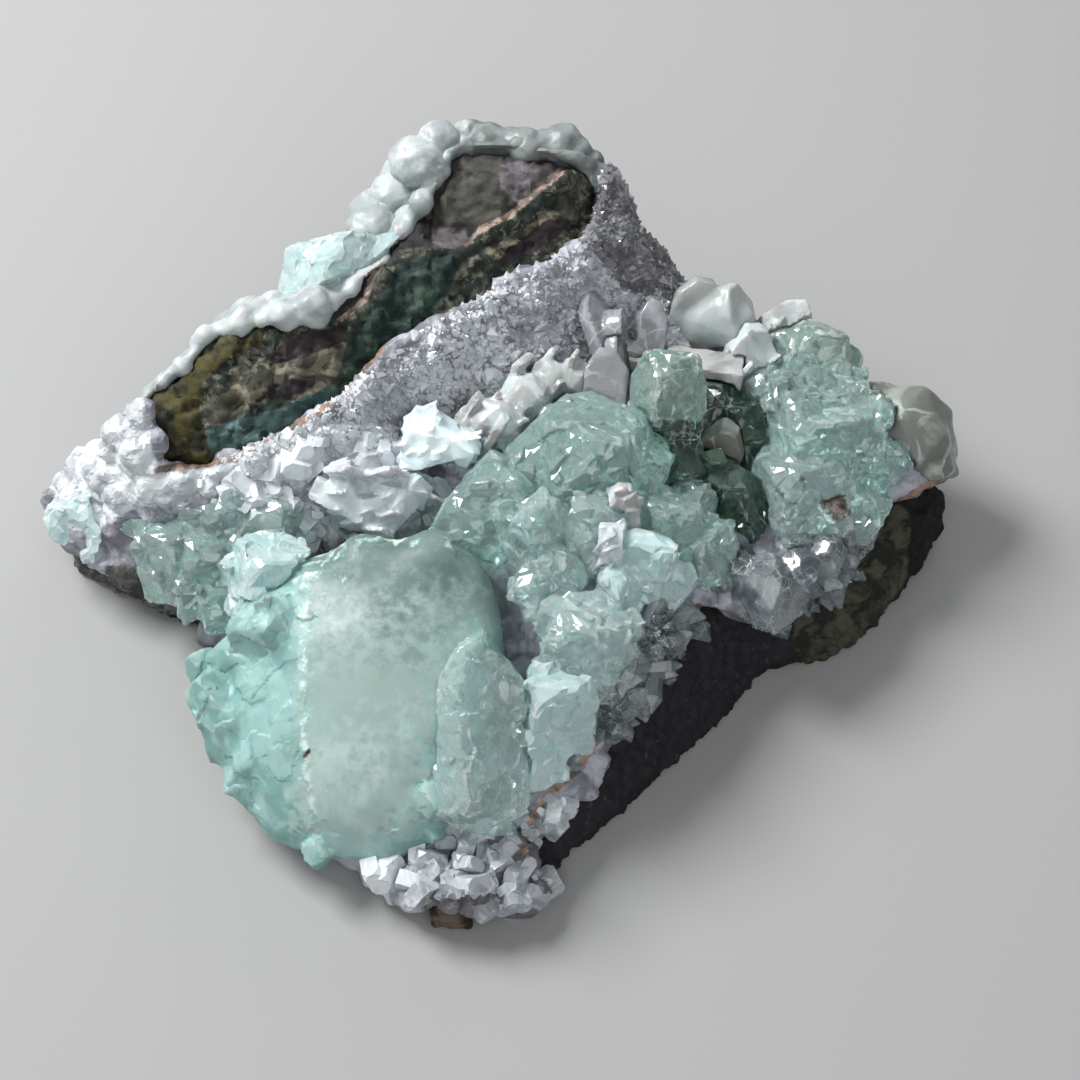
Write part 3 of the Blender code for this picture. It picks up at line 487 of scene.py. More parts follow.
def make_layer_group():
    """Two colours mixed by noise, laid over the colour below where the share is more than a half."""
    tree, inside, outside = shader_group(
        "stone_layer",
        {"Below": BLACK, "Share": 1.0, "First": BLACK, "Second": PLAIN_WHITE, "Scale": 200.0,
         "Balance": 0.5, "Ragged": 0.5},
        {"Color": "Color"})
    place = shade(tree, "TexCoord")
    noise = shade(tree, "TexNoise", {"Detail": 6.0, "Roughness": 0.62, "Distortion": 0.6})
    fray = shade(tree, "TexNoise", {"Scale": 700.0, "Detail": 4.0, "Roughness": 0.6})
    low = maths(tree, "SUBTRACT", second=0.07)
    high = maths(tree, "ADD", second=0.07)
    blend = shade(tree, "MapRange", interpolation_type="SMOOTHSTEP")
    pair = shade(tree, "Mix", data_type="RGBA")
    centred = maths(tree, "SUBTRACT", second=0.5)
    frayed = maths(tree, "MULTIPLY_ADD")
    edge = shade(tree, "MapRange", {"From Min": 0.38, "From Max": 0.62}, interpolation_type="SMOOTHSTEP")
    over = shade(tree, "Mix", data_type="RGBA")
    wired((place, "Object", noise, "Vector"), (place, "Object", fray, "Vector"),
          (inside, "Scale", noise, "Scale"), (inside, "Balance", low, 0), (inside, "Balance", high, 0),
          (noise, "Fac", blend, "Value"), (low, 0, blend, "From Min"), (high, 0, blend, "From Max"),
          (blend, "Result", pair, "Factor"), (inside, "First", pair, "A"),
          (inside, "Second", pair, "B"), (fray, "Fac", centred, 0), (centred, 0, frayed, 0),
          (inside, "Ragged", frayed, 1), (inside, "Share", frayed, 2), (frayed, 0, edge, "Value"),
          (edge, "Result", over, "Factor"), (inside, "Below", over, "A"), (pair, "Result", over, "B"),
          (over, "Result", outside, "Color"))
    return tree


def make_grain_group():
    """A fine uneven surface: soft lumps with sharp little steps, and a roughness that varies with them."""
    tree, inside, outside = shader_group(
        "stone_grain",
        {"Scale": 400.0, "Lumps": 0.3, "Steps": 0.0, "Dull": 0.3, "Uneven": 0.1},
        {"Normal": "Vector", "Roughness": "Float"})
    place = shade(tree, "TexCoord")
    noise = shade(tree, "TexNoise", {"Detail": 5.0, "Roughness": 0.6})
    cells = shade(tree, "TexVoronoi", distance="CHEBYCHEV", feature="F1")
    height = maths(tree, "MULTIPLY")
    both = maths(tree, "MULTIPLY_ADD")
    bump = shade(tree, "Bump", {"Strength": 1.0, "Distance": 0.3 * MM})
    centred = maths(tree, "SUBTRACT", second=0.5)
    dull = maths(tree, "MULTIPLY_ADD", use_clamp=True)
    for maker in (noise, cells):
        wired((place, "Object", maker, "Vector"), (inside, "Scale", maker, "Scale"))
    wired((cells, "Color", height, 0), (inside, "Steps", height, 1), (noise, "Fac", both, 0),
          (inside, "Lumps", both, 1), (height, 0, both, 2), (both, 0, bump, "Height"),
          (noise, "Fac", centred, 0), (centred, 0, dull, 0), (inside, "Uneven", dull, 1),
          (inside, "Dull", dull, 2), (bump, "Normal", outside, "Normal"),
          (dull, 0, outside, "Roughness"))
    return tree


def make_crack_group():
    """Thin pale lines where flat cracks meet the surface, broken up by noise, over the colour below."""
    tree, inside, outside = shader_group(
        "stone_cracks",
        {"Below": BLACK, "Line": PLAIN_WHITE, "Scale": 400.0, "Width": 0.05, "Amount": 0.5},
        {"Color": "Color"})
    place = shade(tree, "TexCoord")
    bend = shade(tree, "TexNoise", {"Scale": 300.0, "Detail": 3.0})
    bent = shade(tree, "MixRGB", {"Fac": 0.0015}, blend_type="ADD")
    cells = shade(tree, "TexVoronoi", feature="DISTANCE_TO_EDGE")
    line = maths(tree, "LESS_THAN")
    breaks = shade(tree, "TexNoise", {"Scale": 260.0, "Detail": 3.0})
    shown = shade(tree, "MapRange", {"From Min": 0.45, "From Max": 0.6})
    part = maths(tree, "MULTIPLY")
    amount = maths(tree, "MULTIPLY")
    over = shade(tree, "Mix", data_type="RGBA")
    wired((place, "Object", bend, "Vector"), (place, "Object", breaks, "Vector"),
          (place, "Object", bent, "Color1"), (bend, "Color", bent, "Color2"),
          (bent, "Color", cells, "Vector"), (inside, "Scale", cells, "Scale"),
          (cells, "Distance", line, 0), (inside, "Width", line, 1), (breaks, "Fac", shown, "Value"),
          (line, 0, part, 0), (shown, "Result", part, 1), (part, 0, amount, 0),
          (inside, "Amount", amount, 1), (amount, 0, over, "Factor"), (inside, "Below", over, "A"),
          (inside, "Line", over, "B"), (over, "Result", outside, "Color"))
    return tree


LAYER = make_layer_group()
GRAIN = make_grain_group()
CRACKS = make_crack_group()
print("groups:", LAYER.name, GRAIN.name, CRACKS.name)

# %% Stone makers
DARKEST = 10  # below this a screen's curve is a straight line


def tone(levels):
    """A colour of three levels from 0 to 255 on a screen, as a shader wants it."""
    return (*[level / 255 / 12.92 if level < DARKEST else ((level / 255 + 0.055) / 1.055) ** 2.4
              for level in levels], 1)


def stone(name, layers, grain, cracks=(), **sockets):
    """A stone's material, with the layers laid one over the other.

    Each layer is (mark or None, first colour, second colour, scale, balance, ragged).
    The grain is (scale, lumps, steps, dull, uneven). Each of the cracks is (colour, scale, width, amount).
    """
    material = bpy.data.materials.new(name)
    material.use_nodes = True
    tree = material.node_tree
    shader = tree.nodes["Principled BSDF"]
    below = None
    for mark, first, second, scale, balance, ragged in layers:
        layer = shade(tree, "Group", {"First": tone(first), "Second": tone(second), "Scale": scale,
                                      "Balance": balance, "Ragged": ragged, "Share": 1.0}, node_tree=LAYER)
        if mark:
            share = shade(tree, "Attribute", attribute_name=mark)
            wired((share, "Fac", layer, "Share"))
        if below:
            wired((below, "Color", layer, "Below"))
        below = layer
    for colour, scale, width, amount in cracks:
        lines = shade(tree, "Group", {"Line": tone(colour), "Scale": scale, "Width": width,
                                      "Amount": amount}, node_tree=CRACKS)
        wired((below, "Color", lines, "Below"))
        below = lines
    values = dict(zip(("Scale", "Lumps", "Steps", "Dull", "Uneven"), grain))
    skin = shade(tree, "Group", values, node_tree=GRAIN)
    wired((below, "Color", shader, "Base Color"), (skin, "Normal", shader, "Normal"),
          (skin, "Roughness", shader, "Roughness"))
    for label, value in sockets.items():
        shader.inputs[label.replace("_", " ")].default_value = value
    return material


def tinted(material, colour, density):
    """Light that passes through the stone takes this colour, more so for each metre."""
    tree = material.node_tree
    absorb = shade(tree, "VolumeAbsorption", {"Color": (*colour, 1), "Density": density})
    wired((absorb, "Volume", tree.nodes["Material Output"], "Volume"))
    return material


# %% [markdown]
# ## Colours
# The colours are what each stone shows in soft light, on the usual scale from 0 to 255.

# %% Stones
BASALT = stone("basalt", [
    (None, (28, 26, 30), (12, 11, 13), 520, 0.5, 0),
    (None, (28, 26, 30), (66, 64, 68), 900, 0.66, 0),
    ("far_rock", (66, 66, 54), (26, 26, 22), 300, 0.5, 0.6),
    ("left_patch", (112, 116, 110), (62, 64, 62), 260, 0.5, 0.6),
    ("nub", (96, 84, 70), (44, 38, 34), 300, 0.5, 0.5),
    ("band", (32, 40, 35), (76, 78, 63), 260, 0.55, 0.5),
    ("band_flecks", (22, 28, 25), (96, 96, 82), 700, 0.56, 1.6),
    ("step", (66, 66, 60), (44, 42, 40), 200, 0.5, 0.4),
    ("beige", (112, 107, 92), (52, 52, 43), 330, 0.52, 0.9),
    ("bottle", (20, 38, 34), (56, 74, 64), 260, 0.56, 0.6),
    ("dark", (46, 38, 42), (24, 22, 24), 300, 0.5, 0.8),
    ("olive", (66, 62, 30), (34, 34, 22), 220, 0.5, 0.7),
    ("blue_green", (44, 66, 64), (104, 130, 130), 300, 0.58, 0.6),
    # painted shadow: the far right of the side face is painted near-black
    ("black_side", (16, 14, 14), (10, 9, 9), 300, 0.5, 0.6),
    ("lavender", (100, 96, 100), (64, 60, 62), 220, 0.5, 0.6),
    ("rim", (148, 132, 122), (92, 82, 76), 500, 0.5, 1.6),
], (600, 0.9, 0.4, 0.7, 0.6), Specular_IOR_Level=0.28)

PEARLY = dict(Subsurface_Weight=0.4, Subsurface_Scale=1.5 * MM)
SATIN = dict(PEARLY, Subsurface_Weight=0.3)

LINING = stone("chalcedony_lining", [
    (None, (160, 163, 172), (118, 118, 126), 260, 0.5, 0),
    ("pale", (204, 209, 211), (168, 172, 177), 200, 0.5, 0.7),
    ("dim", (112, 112, 116), (80, 80, 84), 240, 0.5, 0.6),
    ("stain", (150, 122, 108), (96, 84, 76), 300, 0.5, 0.8),
    ("rock", (96, 98, 92), (58, 58, 54), 300, 0.5, 0.8),
], (420, 0.8, 0.4, 0.4, 0.4))

CRUST = stone("white_crust", [
    (None, (176, 184, 184), (146, 154, 155), 140, 0.5, 0),
    ("grey_top", (124, 132, 131), (96, 103, 102), 140, 0.5, 0.6),
], (260, 0.6, 0.1, 0.42, 0.3), **PEARLY)

DRUSE = stone("druse_crystals", [
    (None, (226, 230, 235), (174, 177, 184), 160, 0.5, 0),
    ("pale", (244, 248, 249), (216, 223, 226), 260, 0.5, 0.7),
    ("dim", (150, 151, 156), (112, 112, 117), 240, 0.5, 0.6),
], (500, 0.3, 0.2, 0.14, 0.2), Transmission_Weight=0.3, IOR=1.54, Coat_Weight=0.3)

CREAM = stone("stilbite_cream", [
    (None, (184, 192, 193), (154, 158, 157), 150, 0.5, 0),
], (300, 0.5, 0.25, 0.3, 0.3), [((226, 232, 232), 260, 0.05, 0.6)], **PEARLY)

FROSTED = stone("stilbite_frosted", [
    (None, (222, 231, 234), (190, 197, 202), 180, 0.5, 0),
], (400, 0.5, 0.3, 0.25, 0.3), [((240, 246, 248), 300, 0.05, 0.7)], Transmission_Weight=0.3, **SATIN)

GLASSY_GREY = stone("stilbite_glassy_grey", [
    (None, (188, 194, 199), (154, 158, 162), 180, 0.5, 0),
], (300, 0.4, 0.3, 0.16, 0.3), [((226, 230, 232), 300, 0.04, 0.6)], Transmission_Weight=0.45,
    IOR=1.5, Coat_Weight=0.3)

PEARL = stone("stilbite_pearl", [
    (None, (164, 172, 171), (136, 142, 141), 150, 0.5, 0),
], (260, 0.4, 0.1, 0.26, 0.3), **PEARLY)

GREY_CREAM = stone("stilbite_grey_cream", [
    (None, (138, 146, 140), (106, 110, 103), 130, 0.5, 0),
], (260, 0.6, 0.2, 0.36, 0.3), [((186, 194, 190), 220, 0.04, 0.5)], **SATIN)

WHITE = stone("stilbite_white", [
    (None, (222, 236, 240), (200, 214, 220), 200, 0.5, 0),
], (400, 0.5, 0.3, 0.3, 0.3), **PEARLY)

BAR_GREY = stone("stilbite_bar_grey", [
    (None, (164, 167, 166), (136, 136, 134), 150, 0.5, 0),
], (300, 0.5, 0.25, 0.3, 0.3), **SATIN)

GLASS = dict(IOR=1.535, Coat_Weight=0.4, Coat_Roughness=0.04)
MINT_LIGHT = (0.76, 0.95, 0.90)
# Painted highlights: pale colour on outward edges and corners, where light catches them.
PAINTED_EDGE_HIGHLIGHTS = ("edge", (246, 254, 252), (224, 242, 238), 600, 0.5, 0.8)
ICE = [((246, 254, 252), 330, 0.03, 0.55), ((246, 254, 252), 800, 0.04, 0.5)]


def green_glass(name, layers, grain, transmission, density):
    """See-through apophyllite with pale cracks inside."""
    glass = stone(name, layers, grain, ICE, Transmission_Weight=transmission, **GLASS)
    return tinted(glass, MINT_LIGHT, density)


CLEAR_GREEN = green_glass("apophyllite_clear", [
    (None, (208, 240, 234), (160, 202, 192), 180, 0.5, 0),
    # pale noise patches painted as glints
    (None, (208, 240, 234), (240, 254, 252), 420, 0.62, 0),
    PAINTED_EDGE_HIGHLIGHTS,
    ("white_face", (236, 250, 248), (214, 236, 232), 120, 0.5, 0.5),
    ("red_stain", (124, 84, 78), (84, 62, 58), 900, 0.5, 1.8),
], (520, 0.25, 0.7, 0.08, 0.2), 0.8, 50)
ICY_GREEN = green_glass("apophyllite_icy", [
    (None, (226, 250, 248), (194, 228, 225), 180, 0.5, 0),
    # pale noise patches painted as glints
    (None, (226, 250, 248), (246, 255, 255), 420, 0.58, 0),
    PAINTED_EDGE_HIGHLIGHTS,
], (520, 0.25, 0.8, 0.08, 0.2), 0.78, 40)
BRIGHT_GREEN = green_glass("apophyllite_bright", [
    (None, (232, 254, 254), (208, 240, 240), 300, 0.5, 0),
    PAINTED_EDGE_HIGHLIGHTS,
], (520, 0.3, 0.8, 0.1, 0.25), 0.55, 25)
SHADED_GREEN = green_glass("apophyllite_shaded", [
    (None, (172, 198, 190), (124, 156, 146), 180, 0.5, 0),
    # pale noise patches painted as glints
    (None, (172, 198, 190), (224, 242, 238), 420, 0.64, 0),
    PAINTED_EDGE_HIGHLIGHTS,
    # painted shade on the lower part of the crystal
    ("stem", (84, 108, 96), (52, 72, 62), 200, 0.5, 0.6),
], (520, 0.25, 0.7, 0.1, 0.25), 0.7, 55)
MILKY_GREEN = tinted(stone("apophyllite_milky", [
    (None, (160, 182, 177), (144, 168, 162), 90, 0.5, 0),
    (None, (160, 182, 177), (188, 206, 202), 160, 0.62, 0),
    # painted shade darkens the top of the great crystal, painted light brightens its foot
    ("crown", (118, 142, 138), (102, 126, 121), 110, 0.5, 0.5),
    ("foot", (194, 216, 211), (176, 200, 195), 110, 0.5, 0.5),
    ("flank", (164, 200, 196), (134, 174, 169), 200, 0.5, 0.9),
    # painted highlights: glints along the edge line and rim; on the frosted patch partly real frosting,
    # partly painted glints
    ("glint", (222, 240, 236), (156, 192, 184), 500, 0.5, 1.2),
    ("speck", (92, 66, 52), (60, 44, 36), 900, 0.5, 1.0),
], (200, 0.3, 0.15, 0.42, 0.3), Transmission_Weight=0.3, Subsurface_Weight=0.5,
    Subsurface_Scale=2.5 * MM, IOR=1.4, Specular_IOR_Level=0.35), MINT_LIGHT, 45)
# A darker green for the crystals deep in the gap between the groups: painted shade.
SHADOWED_GREEN = tinted(stone("apophyllite_deep_green", [
    (None, (92, 118, 105), (58, 82, 70), 200, 0.5, 0),
], (380, 0.3, 0.5, 0.14, 0.25), ICE[:1], Transmission_Weight=0.6, **GLASS), (0.50, 0.80, 0.68), 100)
PALE_CHIPS = stone("pale_chips", [
    (None, (240, 246, 250), (208, 214, 219), 160, 0.5, 0),
    ("dim", (196, 202, 208), (160, 166, 172), 240, 0.5, 0.6),
], (400, 0.4, 0.3, 0.2, 0.3), ICE[:1], Transmission_Weight=0.25, IOR=1.5, Coat_Weight=0.2)
LAVENDER_GLASS = tinted(stone("quartz_clear", [
    (None, (168, 178, 182), (118, 128, 134), 200, 0.5, 0),
    ("pale", (226, 234, 240), (196, 205, 212), 260, 0.5, 0.7),
], (380, 0.3, 0.4, 0.14, 0.25), ICE[1:], Transmission_Weight=0.6, **GLASS), (0.88, 0.93, 0.93), 40)

# %% [markdown]
# ## The basalt
# One broken piece of lava. Its ridge shows a flat broken band, turned dark green by celadonite, olive at
# the left end and spotted with beige. Behind the band a grey-brown face lies one step lower. The side
# face is nearly black and pitted by gas bubbles.
# The far right end of the side face is painted darker still, as painted shadow.

# %% Places on the basalt
BASALT_MARKS = {
    "band": [[(-46.8, 16.8), (-45, 19.4), (-41.4, 20.9), (-37.8, 24), (-33.6, 25), (-28.8, 25.8),
              (-23.4, 26.6), (-21, 28.8), (-20, 32.2), (-16.8, 34.8), (-13.2, 35.4), (-9, 35.4), (-7, 37.4),
              (-3.6, 39), (0.6, 42.6), (3, 44.6), (6.2, 45), (8.6, 40.8), (7.6, 37.8), (5.4, 34.4),
              (-1.2, 31), (-4.8, 30), (-7.2, 27.8), (-12, 25.6), (-16.8, 23.6), (-19.2, 21.8),
              (-22.2, 17.6), (-25.2, 15.4), (-28.8, 13.4), (-32.4, 11), (-36, 8.8), (-40.2, 7.4),
              (-46.8, 7.2), (-47.2, 12.6)]],
    "step": [[(-9.4, 49), (-7.2, 49.2), (-1.2, 48.8), (7.2, 47.6), (6, 44.2), (3, 44.4), (0.6, 42.6),
              (-3.6, 39), (-7.2, 37.4), (-9, 35.4), (-13.8, 36.4), (-13.5, 40.2)]],
    "lavender": [[(-5, 45), (0.6, 46.2), (2.6, 44.6), (0.6, 42.6), (-2.4, 40.2), (-4.8, 42)],
                 [(-12.8, 37.7), (-9, 37.2), (-8.4, 36), (-10.2, 34.8), (-13, 35.5)]],
    "olive": [[(-49, 16.8), (-45, 20.7), (-40.8, 22.6), (-37.2, 25.2), (-33.4, 26.2), (-33.4, 23.4),
               (-37.8, 21.8), (-40.8, 18.6), (-41, 14.4), (-39.4, 12), (-40.2, 6.2), (-48.2, 5.8)]],
    "blue_green": [[(-40.2, 13), (-36, 14.6), (-30, 16.2), (-25.2, 18.6), (-23.4, 17.4), (-28.8, 13.8),
                    (-34.8, 10.2), (-39, 9.4)]],
    "bottle": [[(-22.6, 25.2), (-19.4, 28.8), (-16.8, 33.4), (-12, 34.6), (-9.4, 33.4), (-10.8, 30),
                (-13.2, 26.4), (-17.4, 23.4), (-19.8, 20.4), (-22.8, 17.8), (-24.6, 18.6), (-23.4, 22.8)]],
    "beige": [[(-37.8, 18.2), (-33.4, 20.2), (-28.8, 22.8), (-23.4, 24), (-22.8, 20.2), (-27, 17.4),
               (-33, 17.8), (-36.6, 14.4), (-40.2, 13.8)],
              [(-15, 27.4), (-13, 27.8), (-12, 26.2), (-13.9, 25), (-15.4, 25.9)],
              [(-11.4, 33.8), (-9.4, 34.2), (-8.6, 31.8), (-10.6, 31), (-11.6, 32.4)],
              [(-7.2, 34.8), (-2.4, 37), (2.4, 40.2), (4.2, 39.4), (0, 36), (-5.4, 33.4)]],
    "dark": [[(-30.6, 24), (-23.4, 25.8), (-23, 24), (-28.8, 21.8), (-32.4, 21)],
             [(-33, 18.6), (-26.6, 19.8), (-27.4, 18), (-32.4, 16.6)],
             [(-5, 32.5), (1, 35.5), (4, 38.5), (1, 38.5), (-4, 35)]],
    "nub": [[(-14.4, -42.4), (-6, -42), (-6, -48), (-14.4, -48.6)]],
    "left_patch": [[(-60, 2), (-52.2, -1.8), (-45.6, -1.4), (-40.8, -4.8), (-36.6, -10.6), (-40.8, -10.2),
                    (-50.4, -7.2), (-60, -8)]],
    "far_rock": [[(30, -13.2), (31.2, -7.2), (35.4, -3.6), (39, 0), (42.6, 4.2), (45, 4.8), (46.2, 0),
                  (43.2, -6), (39.6, -12), (34.8, -16.6), (30, -16.4)]],
    # painted shadow: the far right end of the side face is painted near-black
    "black_side": [[(41, 6), (44.5, 3), (44, -5), (41, -11), (44, -14), (60, -8), (60, 8)]],
}
BAND = BASALT_MARKS["band"][0]
LOW_MARKS = ("nub", "left_patch", "far_rock", "black_side")  # the others lie on the ridge
RIM_LINES = [
    [(-9, 35.4), (-7, 37.4), (-3.6, 39), (0.6, 42.6), (3, 44.6)],
    [(-7.2, 28.8), (-4.8, 31.2), (-1.2, 32.6), (4.2, 35.4), (6.2, 37.8), (7.2, 40.8)],
    [(-24, 26.5), (-21, 28.8), (-20, 32.2)],
]
RIDGE_LEVEL = 14.0  # millimetres over the table
STEP_DOWN = 1.3  # how far the grey-brown face lies below the band
FLECK_SHARE = 0.5  # half the full share leaves loose flecks

# %% Basalt
basalt = remeshed(copy_of("basalt_matrix", "basalt_rock"), 0.5)
grouped(basalt, "push_band", within(basalt, BAND, soft=2.0))
shifted(basalt, (0, 0, -1), STEP_DOWN * within(basalt, BASALT_MARKS["step"][0], soft=1.0))
displaced(basalt, clouds(3.0, 3), strength=1.0)
displaced(basalt, texture("VORONOI", 1.6, noise_intensity=1.2), strength=0.9, middle=0.4, group="push_band")
displaced(basalt, texture("VORONOI", 1.1), strength=0.9, middle=0.35)
displaced(basalt, clouds(0.9, 1), strength=0.35)
on_ridge = {name: BASALT_MARKS[name] for name in BASALT_MARKS if name not in LOW_MARKS}
mark_places(basalt, on_ridge, soft=1.6, level=RIDGE_LEVEL)
mark_places(basalt, {name: BASALT_MARKS[name] for name in LOW_MARKS}, soft=1.6)
flecks = FLECK_SHARE * within(basalt, BAND, soft=1.6)
marked(basalt, "band_flecks", flecks * above(basalt, RIDGE_LEVEL))
rims = [near_line(basalt, line, reach=0.8) for line in RIM_LINES]
marked(basalt, "rim", np.max(rims, axis=0) * above(basalt, RIDGE_LEVEL))
smooth_shaded(basalt, 50)
piece(basalt, "basalt", BASALT, "basalt_matrix")

# %% [markdown]
# ## The chalcedony
# The hollow is lined with a lavender-grey skin that is set all over with tiny quartz crystals, and the
# outer side of the ridge wears a smooth white crust of rounded bulges.

# %% Chalcedony skins
LINING_MARKS = {
    "pale": [[(-60, 9), (-48, 18), (-46, 8), (-40, 8.4), (-28, 14), (-20, 14), (-14, 10), (-12, 2),
              (-26, 0), (-36, 5), (-48, 4), (-56, 0)],
             [(-30, -38), (-24, -35), (-18, -36), (-18, -44), (-30, -46)]],
    "dim": [[(5, 36), (8, 46), (14, 40), (22, 32), (18, 28), (10, 30)],
            [(-14, -36), (2, -34), (2, -46), (-14, -46)]],
    "rock": [[(-52, -3), (-42, -3), (-40, -9), (-46, -10), (-52, -7)]],
}
KNOBBLY = [[(-60, 12), (-47, 18), (-46, 8), (-40, 8), (-30, 12), (-18, 12), (-12, 6), (-16, 0), (-30, 0),
            (-48, 2), (-56, 0)],
           [(-24, -38), (-10, -36), (-2, -34), (3, -32), (2, -46), (-16, -46)]]
CONTACTS = [  # where the lining ends on the basalt, stained by rust
    [(19, -8), (16, -12), (14, -17), (8, -22), (5, -27), (0.6, -31), (-2, -35), (-1.6, -39)],
    [(21, -8.5), (24, -11), (27, -13.5), (31, -12)],
    [(38, 1), (44, 5), (48, 7.5)],
    [(-46, 8.4), (-36, 9.8), (-25, 16.4), (-19, 23)],
]
bpy.ops.mesh.primitive_ico_sphere_add(subdivisions=2, radius=0.5 * MM)
pebble = bpy.context.object
pebble.name = "pebble_grain"
lining = remeshed(copy_of("chalcedony_lining", "chalcedony_lining_skin"), 0.8)
marked(lining, "knobbly", within_any(lining, KNOBBLY, soft=1.0))
grown(lining, pebble, 0.25, (1.2, 4.0), tilt=0.6, seed=31, mask="knobbly", apart=0.8)
remeshed(lining, 0.5)
displaced(lining, clouds(4.5, 2), strength=2.2)
displaced(lining, texture("VORONOI", 1.6), strength=0.7, middle=0.3)
mark_places(lining, LINING_MARKS, soft=3.0)
marked(lining, "stain", np.max([near_line(lining, line, reach=0.9) for line in CONTACTS], axis=0))
piece(lining, "chalcedony", LINING, "chalcedony_lining")

# %% White crust
CREST_LUMPS = [(-24, 27), (-24, 40), (-19, 50), (-8, 51), (8, 50), (12, 38), (8, 40), (5, 46.4), (-8, 48),
               (-12.6, 43), (-12, 38), (-16, 36), (-20.5, 32.5), (-21.5, 28.6)]
LEFT_CREST = [(-44, 20), (-44, 28), (-26, 38), (-20, 34), (-23, 29), (-32, 27), (-38, 24)]
GREY_TOP = [(-8, 46), (-9, 52), (14, 52), (14, 36), (7, 40), (6, 44)]
crust = remeshed(copy_of("chalcedony_crust", "chalcedony_crust_skin"), 0.8)
marked(crust, "knobbly", within_any(crust, (CREST_LUMPS, LEFT_CREST), soft=0.8))
grown(crust, pebble, 0.12, (1.6, 5.0), tilt=0.6, seed=32, mask="knobbly", apart=1.4)
remeshed(crust, 0.5)
displaced(crust, clouds(4.0, 3), strength=1.8)
marked(crust, "grey_top", within(crust, GREY_TOP, soft=3.0))
smooth_shaded(crust, 60)
piece(crust, "chalcedony", CRUST, "chalcedony_crust")

# %% [markdown]
# ## Bulges on the crust
# The crust ends upwards in a row of rounded bulges, and larger lumps sit on its outer side. Each is an
# icosphere, a little flattened. A remesh fuses them, and clouds take away the look of a perfect ball.

# %% Crust bulges
BULGES = [  # right, up, height, radius along the top edge
    (-8.4, 48.8, 35.6, 1.8), (-6.2, 48.1, 35.8, 2.1), (-4.0, 48.0, 36.0, 1.7), (-1.8, 47.4, 36.0, 2.1),
    (0.4, 47.6, 35.8, 1.8), (2.4, 47.6, 35.6, 2.2), (4.3, 46.8, 35.0, 1.7), (5.8, 45.2, 33.8, 1.6),
    (7.2, 43.2, 31.3, 1.3),
]
OUTER_LUMPS = [  # right, up, radius on the outer side, as high as the crust is there
    (-14.6, 45.4, 3.0), (-17.4, 41.4, 2.6), (-12.0, 48.2, 2.2), (-20.0, 37.6, 2.6), (-22.6, 34.2, 2.2),
]
BULGE_SHAPE = (1.25, 1.15, 0.9)
SUNK = 0.3  # the share of its radius by which a lump sinks in
NEIGHBOURS = 60
crust_right, crust_up = in_picture(crust)
crust_heights = of_points(crust, "co")[:, 2] / MM


def crust_height(right, up):
    """The top of the crust near this place of the picture, in millimetres."""
    nearest = np.argsort(np.hypot(crust_right - right, crust_up - up))[:NEIGHBOURS]
    return crust_heights[nearest].max()


def bulge(right, up, height, radius):
    """One rounded lump of crust, a little flatter than a ball."""
    bpy.ops.mesh.primitive_ico_sphere_add(subdivisions=3, radius=radius * MM,
                                          location=spot(right, up, height))
    bpy.ops.transform.resize(value=BULGE_SHAPE)
    return bpy.context.object


for right, up, radius in OUTER_LUMPS:
    BULGES.append((right, up, crust_height(right, up) - SUNK * radius, radius))
bulges = at_origin(joined([bulge(*row) for row in BULGES], "crust_bulges"))
remeshed(bulges, 0.35)
displaced(bulges, clouds(3.0, 3), strength=1.3)
marked(bulges, "grey_top", within(bulges, GREY_TOP, soft=3.0))
smooth_shaded(bulges, 60)
piece(bulges, "chalcedony", CRUST)

# %% [markdown]
# ## The druse
# Three grains are modelled: a low six-sided point, a longer prism with a point, and a chip with its
# corners cut. Node groups sow them over copies of the lining: thousands of fine points on the slope,
# chips at the left and at the bottom, and a few larger clear crystals on the front right.

# %% Druse crystals
UPWARD = 0.9  # a face is the top one when its normal points up by this much
POINTED = 0.15  # what is left of the width at the point


def quartz_grain(name, width, length, point):
    """A six-sided prism of this width and length with a point, sunk halfway below the origin."""
    bpy.ops.mesh.primitive_cylinder_add(vertices=6, radius=width / 2 * MM, depth=length * MM)
    grain = bpy.context.object
    mode("EDIT")
    bpy.ops.mesh.select_all(action="DESELECT")
    mode("OBJECT")
    for face in grain.data.polygons:
        face.select = face.normal.z > UPWARD
    mode("EDIT")
    bpy.ops.mesh.extrude_region_move(TRANSFORM_OT_translate={"value": (0, 0, point * MM)})
    bpy.ops.transform.resize(value=(POINTED, POINTED, 1))
    mode("OBJECT")
    return at_origin(grain, name)


def sown(ground, name, grain, density, sizes, tilt, seed, mask):
    """A piece of its own made of grains on a copy of the ground."""
    only(ground)
    bpy.ops.object.duplicate()
    sown_piece = bpy.context.object
    sown_piece.name = name
    for key in list(sown_piece.keys()):
        del sown_piece[key]
    return grown(sown_piece, grain, density, sizes, tilt, seed, mask=mask, keep=False)


def block(name, size, corner):
    """A box of this size with its corners cut off, as apophyllite and stilbite crystals have them."""
    bpy.ops.mesh.primitive_cube_add(size=MM)
    grain = bpy.context.object
    grain.scale = size
    bpy.ops.object.transform_apply(scale=True)
    mode("EDIT")
    bpy.ops.mesh.bevel(offset=corner * MM, affect="VERTICES")
    mode("OBJECT")
    return at_origin(grain, name)


def point_grain(name, width, height):
    """A six-sided point with its foot below the origin, for the finest crystals."""
    bpy.ops.mesh.primitive_cone_add(vertices=6, radius1=width / 2 * MM, radius2=0, depth=height * MM)
    return at_origin(bpy.context.object, name)


